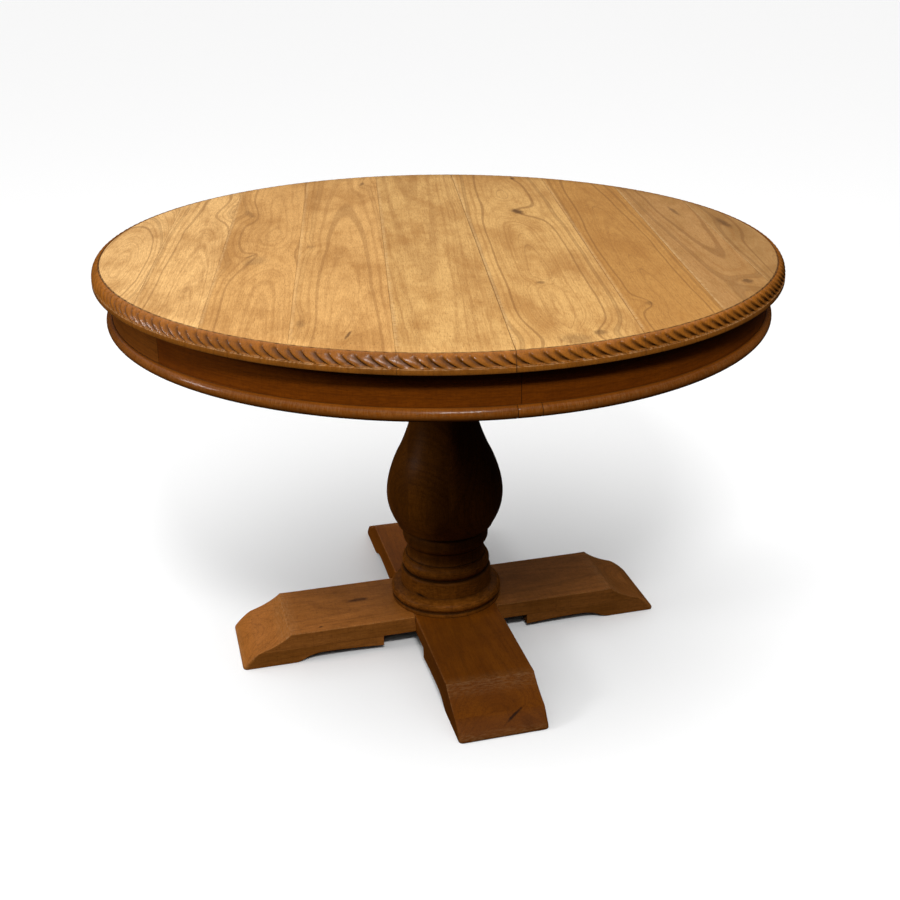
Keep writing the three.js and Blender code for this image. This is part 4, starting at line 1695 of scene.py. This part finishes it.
def sanded_boards() -> list[Wood]:
    """The nine boards of honey-coloured mango wood, each from its own part of a trunk.

    Sanded back to the pale wood and waxed, so the eye gets a satin honey surface with soft
    brown rings, short dark pores and, here and there, a knot.

    Returns:
        The finishes from the left board to the right one.
    """
    common = {"late": "8E5E2C", "drift": "9E6A30", "pore": "4E3018", "hollow": "3A2210"}
    common |= {"worn_and_lit": "F2D09A", "wear_and_light_strength": 0.4, "mottle_strength": 0.30, "wander": 26.0}
    common |= {"roughness": 0.55, "bump": 0.06, "sheen": 0.12}
    cuts = [
        {"early": "E8B978", "heart_across": -545, "heart_depth": 14, "ring": 3, "tilt": 0.16,
         "contour_strength": 0.25},
        {"early": "E8B876", "heart_across": -420, "heart_depth": 30, "ring": 4, "tilt": 0.05,
         "contour_strength": 0.2, "knots": (Knot(-376, 278, 12, 30, 22, 0.3, 20),)},
        {"early": "D9A664", "heart_across": -300, "heart_depth": 40, "ring": 5, "tilt": 0.02,
         "contour_strength": 0.15,
         "knots": (Knot(-322, -92, 22, 34, 20, 0.30, 25), Knot(-330, -60, 5, 16, 8, 0.45, 30),
                   Knot(-352, 250, 9, 34, 16, 0.3, -15))},
        {"early": "DAA866", "heart_across": -170, "heart_depth": 60, "ring": 5, "tilt": 0.03,
         "contour_strength": 0.1,
         "knots": (Knot(-167, -497, 3, 22, 6, 0.75, 14), Knot(-231, -7, 7, 13, 8, 0.3),
                   Knot(-134, 503, 5, 20, 8, 0.6, 10), Knot(-236, -440, 8, 22, 8, 0.3))},
        {"early": "D4A766", "heart_across": -40, "heart_depth": 90, "ring": 6, "tilt": -0.02},
        {"early": "D6A866", "heart_across": 150, "heart_depth": 24, "ring": 5, "tilt": 0.05,
         "contour_strength": 0.28, "wander": 18.0,
         "knots": (Knot(163, 226, 13, 26, 30, 0.8, -12), Knot(141, -262, 9, 9, 16, 0.5),
                   Knot(150, -545, 30, 26, 26, 0.35), Knot(190, -520, 12, 14, 12, 0.5, 30),
                   Knot(190, 530, 6, 12, 5, 0.7))},
        {"early": "B88646", "heart_across": 320, "heart_depth": 26, "ring": 4, "tilt": 0.04,
         "contour_strength": 0.3, "knots": (Knot(290, -388, 7, 13, 26, 0.4),)},
        {"early": "B08450", "heart_across": 470, "heart_depth": 50, "ring": 4, "tilt": -0.04,
         "drift": "8E6632", "contour_strength": 0.25,
         "knots": (Knot(474, -286, 10, 17, 14, 0.65), Knot(468, 202, 6, 44, 8, 0.55, -6))},
        {"early": "A67E4C", "heart_across": 560, "heart_depth": 30, "ring": 3, "drift": "805A2C",
         "contour_strength": 0.3, "knots": (Knot(540, 100, 9, 48, 12, 0.65, -5),)},
    ]
    names = [f"sanded_mango_wood_{i + 1}" for i in range(len(cuts))]
    return [Wood(name, seed=3.1 * i, **{**common, **cuts[i]}) for i, name in enumerate(names)]


def stained_woods() -> dict[str, Wood]:
    """Mango wood, stained walnut brown and waxed: deep warm brown with a low sheen.

    The column is painted darker than the legs as painted shade under the top, and the apron is darker too.
    The rope and the bead have been handled most, so their wax is polished.

    Returns:
        The finish of each piece or group of pieces, by name.
    """
    common = {"early": "8E5B24", "late": "5A3210", "drift": "74451A", "pore": "301806"}
    # The hollow colour is painted shade in recesses and on the right arm of the base, and dirt in joints;
    # on the front arm it is a darker tone.
    common |= {"hollow": "180B03", "worn_and_lit": "B98C5C", "roughness": 0.40, "sheen": 0.07, "bump": 0.10}
    common |= {"ring": 4.0, "wander": 14.0, "heart_depth": 50.0, "ring_strength": 0.22}
    long_wood = {"early": "904E0B", "drift": "743A06", "late": "5A2E08"}
    cross_wood = {"early": "AC6A2E", "drift": "8A521A"}
    # A crack in the front toe with a dark patch beside it. The long beam's grain is measured
    # towards the back, so there the crack lies at the opposite place.
    crack = (Knot(25, 389, 2.6, 27, 5, 0.95, -60), Knot(47, 404, 13, 12, 12, 0.2))
    crack_in_beam = tuple(replace(knot, across=-knot.across, along=-knot.along) for knot in crack)
    left_knots = (Knot(14, -175, 7, 26, 12, 0.75, 4), Knot(-68, -262, 3, 5, 3, 0.9))
    choices = {
        # The rope's hollow colour is painted shade in the gouge cuts and the groove, and dirt where a joint
        # runs through.
        "rope": {"early": "A0601E", "drift": "7C4814", "worn_and_lit": "D0A06C", "hollow": "341A06",
                 "roughness": 0.16, "sheen": 0.15, "seed": 1.0},
        "apron": {"early": "804008", "drift": "6A3206", "late": "4A2004", "seed": 2.0},
        "pale_segment": {"early": "8C4E16", "drift": "703C0C", "late": "4E280A", "seed": 3.0},
        "bead": {"early": "884A10", "drift": "6C3608", "roughness": 0.14, "sheen": 0.13,
                 "wear_and_light_strength": 0.30, "seed": 2.5},
        # The column's darker colours are painted shade under the top; its worn_and_lit colour is rubbed
        # wear and painted light on the lower mouldings.
        "column": {"early": "784410", "drift": "4C2806", "late": "301404", "worn_and_lit": "B46C28",
                   "roughness": 0.36, "sheen": 0.03, "seed": 4.0},
        "long_beam": {"seed": 6.0, "knots": crack_in_beam, **long_wood},
        "cross_beam": {"seed": 7.0, "knots": left_knots, **cross_wood},
        "front_pad": {"seed": 8.0, "knots": crack, **long_wood},
        "left_pad": {"seed": 9.0, **cross_wood},
        "right_pad": {"seed": 10.0, **cross_wood},
        "back_pad": {"seed": 11.0, **long_wood},
    }
    return {
        key: Wood(f"stained_mango_wood_{key}", **{**common, **changes})
        for key, changes in choices.items()
    }


def bare(source: GrainSource) -> Wood:
    """Plain planed mango wood under the table: dry, pale brown and matt.

    Args:
        source: the direction of the grain.

    Returns:
        The finish.
    """
    return Wood(
        name=f"planed_mango_wood_{source.name.lower()}",
        early="B48A5A",
        late="8E6438",
        drift="A0764A",
        pore="5E3E20",
        source=source,
        roughness=0.72,
        bump=0.18,
        seed=5.5,
    )


def main() -> None:
    """Builds the table from the top down, then the studio."""
    logging.basicConfig(level=logging.INFO, format="%(name)s: %(message)s")
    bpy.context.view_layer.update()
    boards = [wood.material() for wood in sanded_boards()]
    stained = {name: wood.material() for name, wood in stained_woods().items()}
    directions = (GrainSource.ALONG_X, GrainSource.ALONG_Y, GrainSource.ALONG_Z)
    planed = {source: bare(source).material() for source in directions}
    BoardedTop().build(boards, stained["rope"], planed[GrainSource.ALONG_Y])
    rails = [stained["apron"]] * 6
    rails[4] = stained["pale_segment"]
    Apron().build(rails, stained["bead"])
    TurnedColumn().build(stained["column"])
    CrossBase().build(stained)
    Underframe().dress(planed, ZincSteel().material())
    Studio().build()


if __name__ == "__main__":
    main()
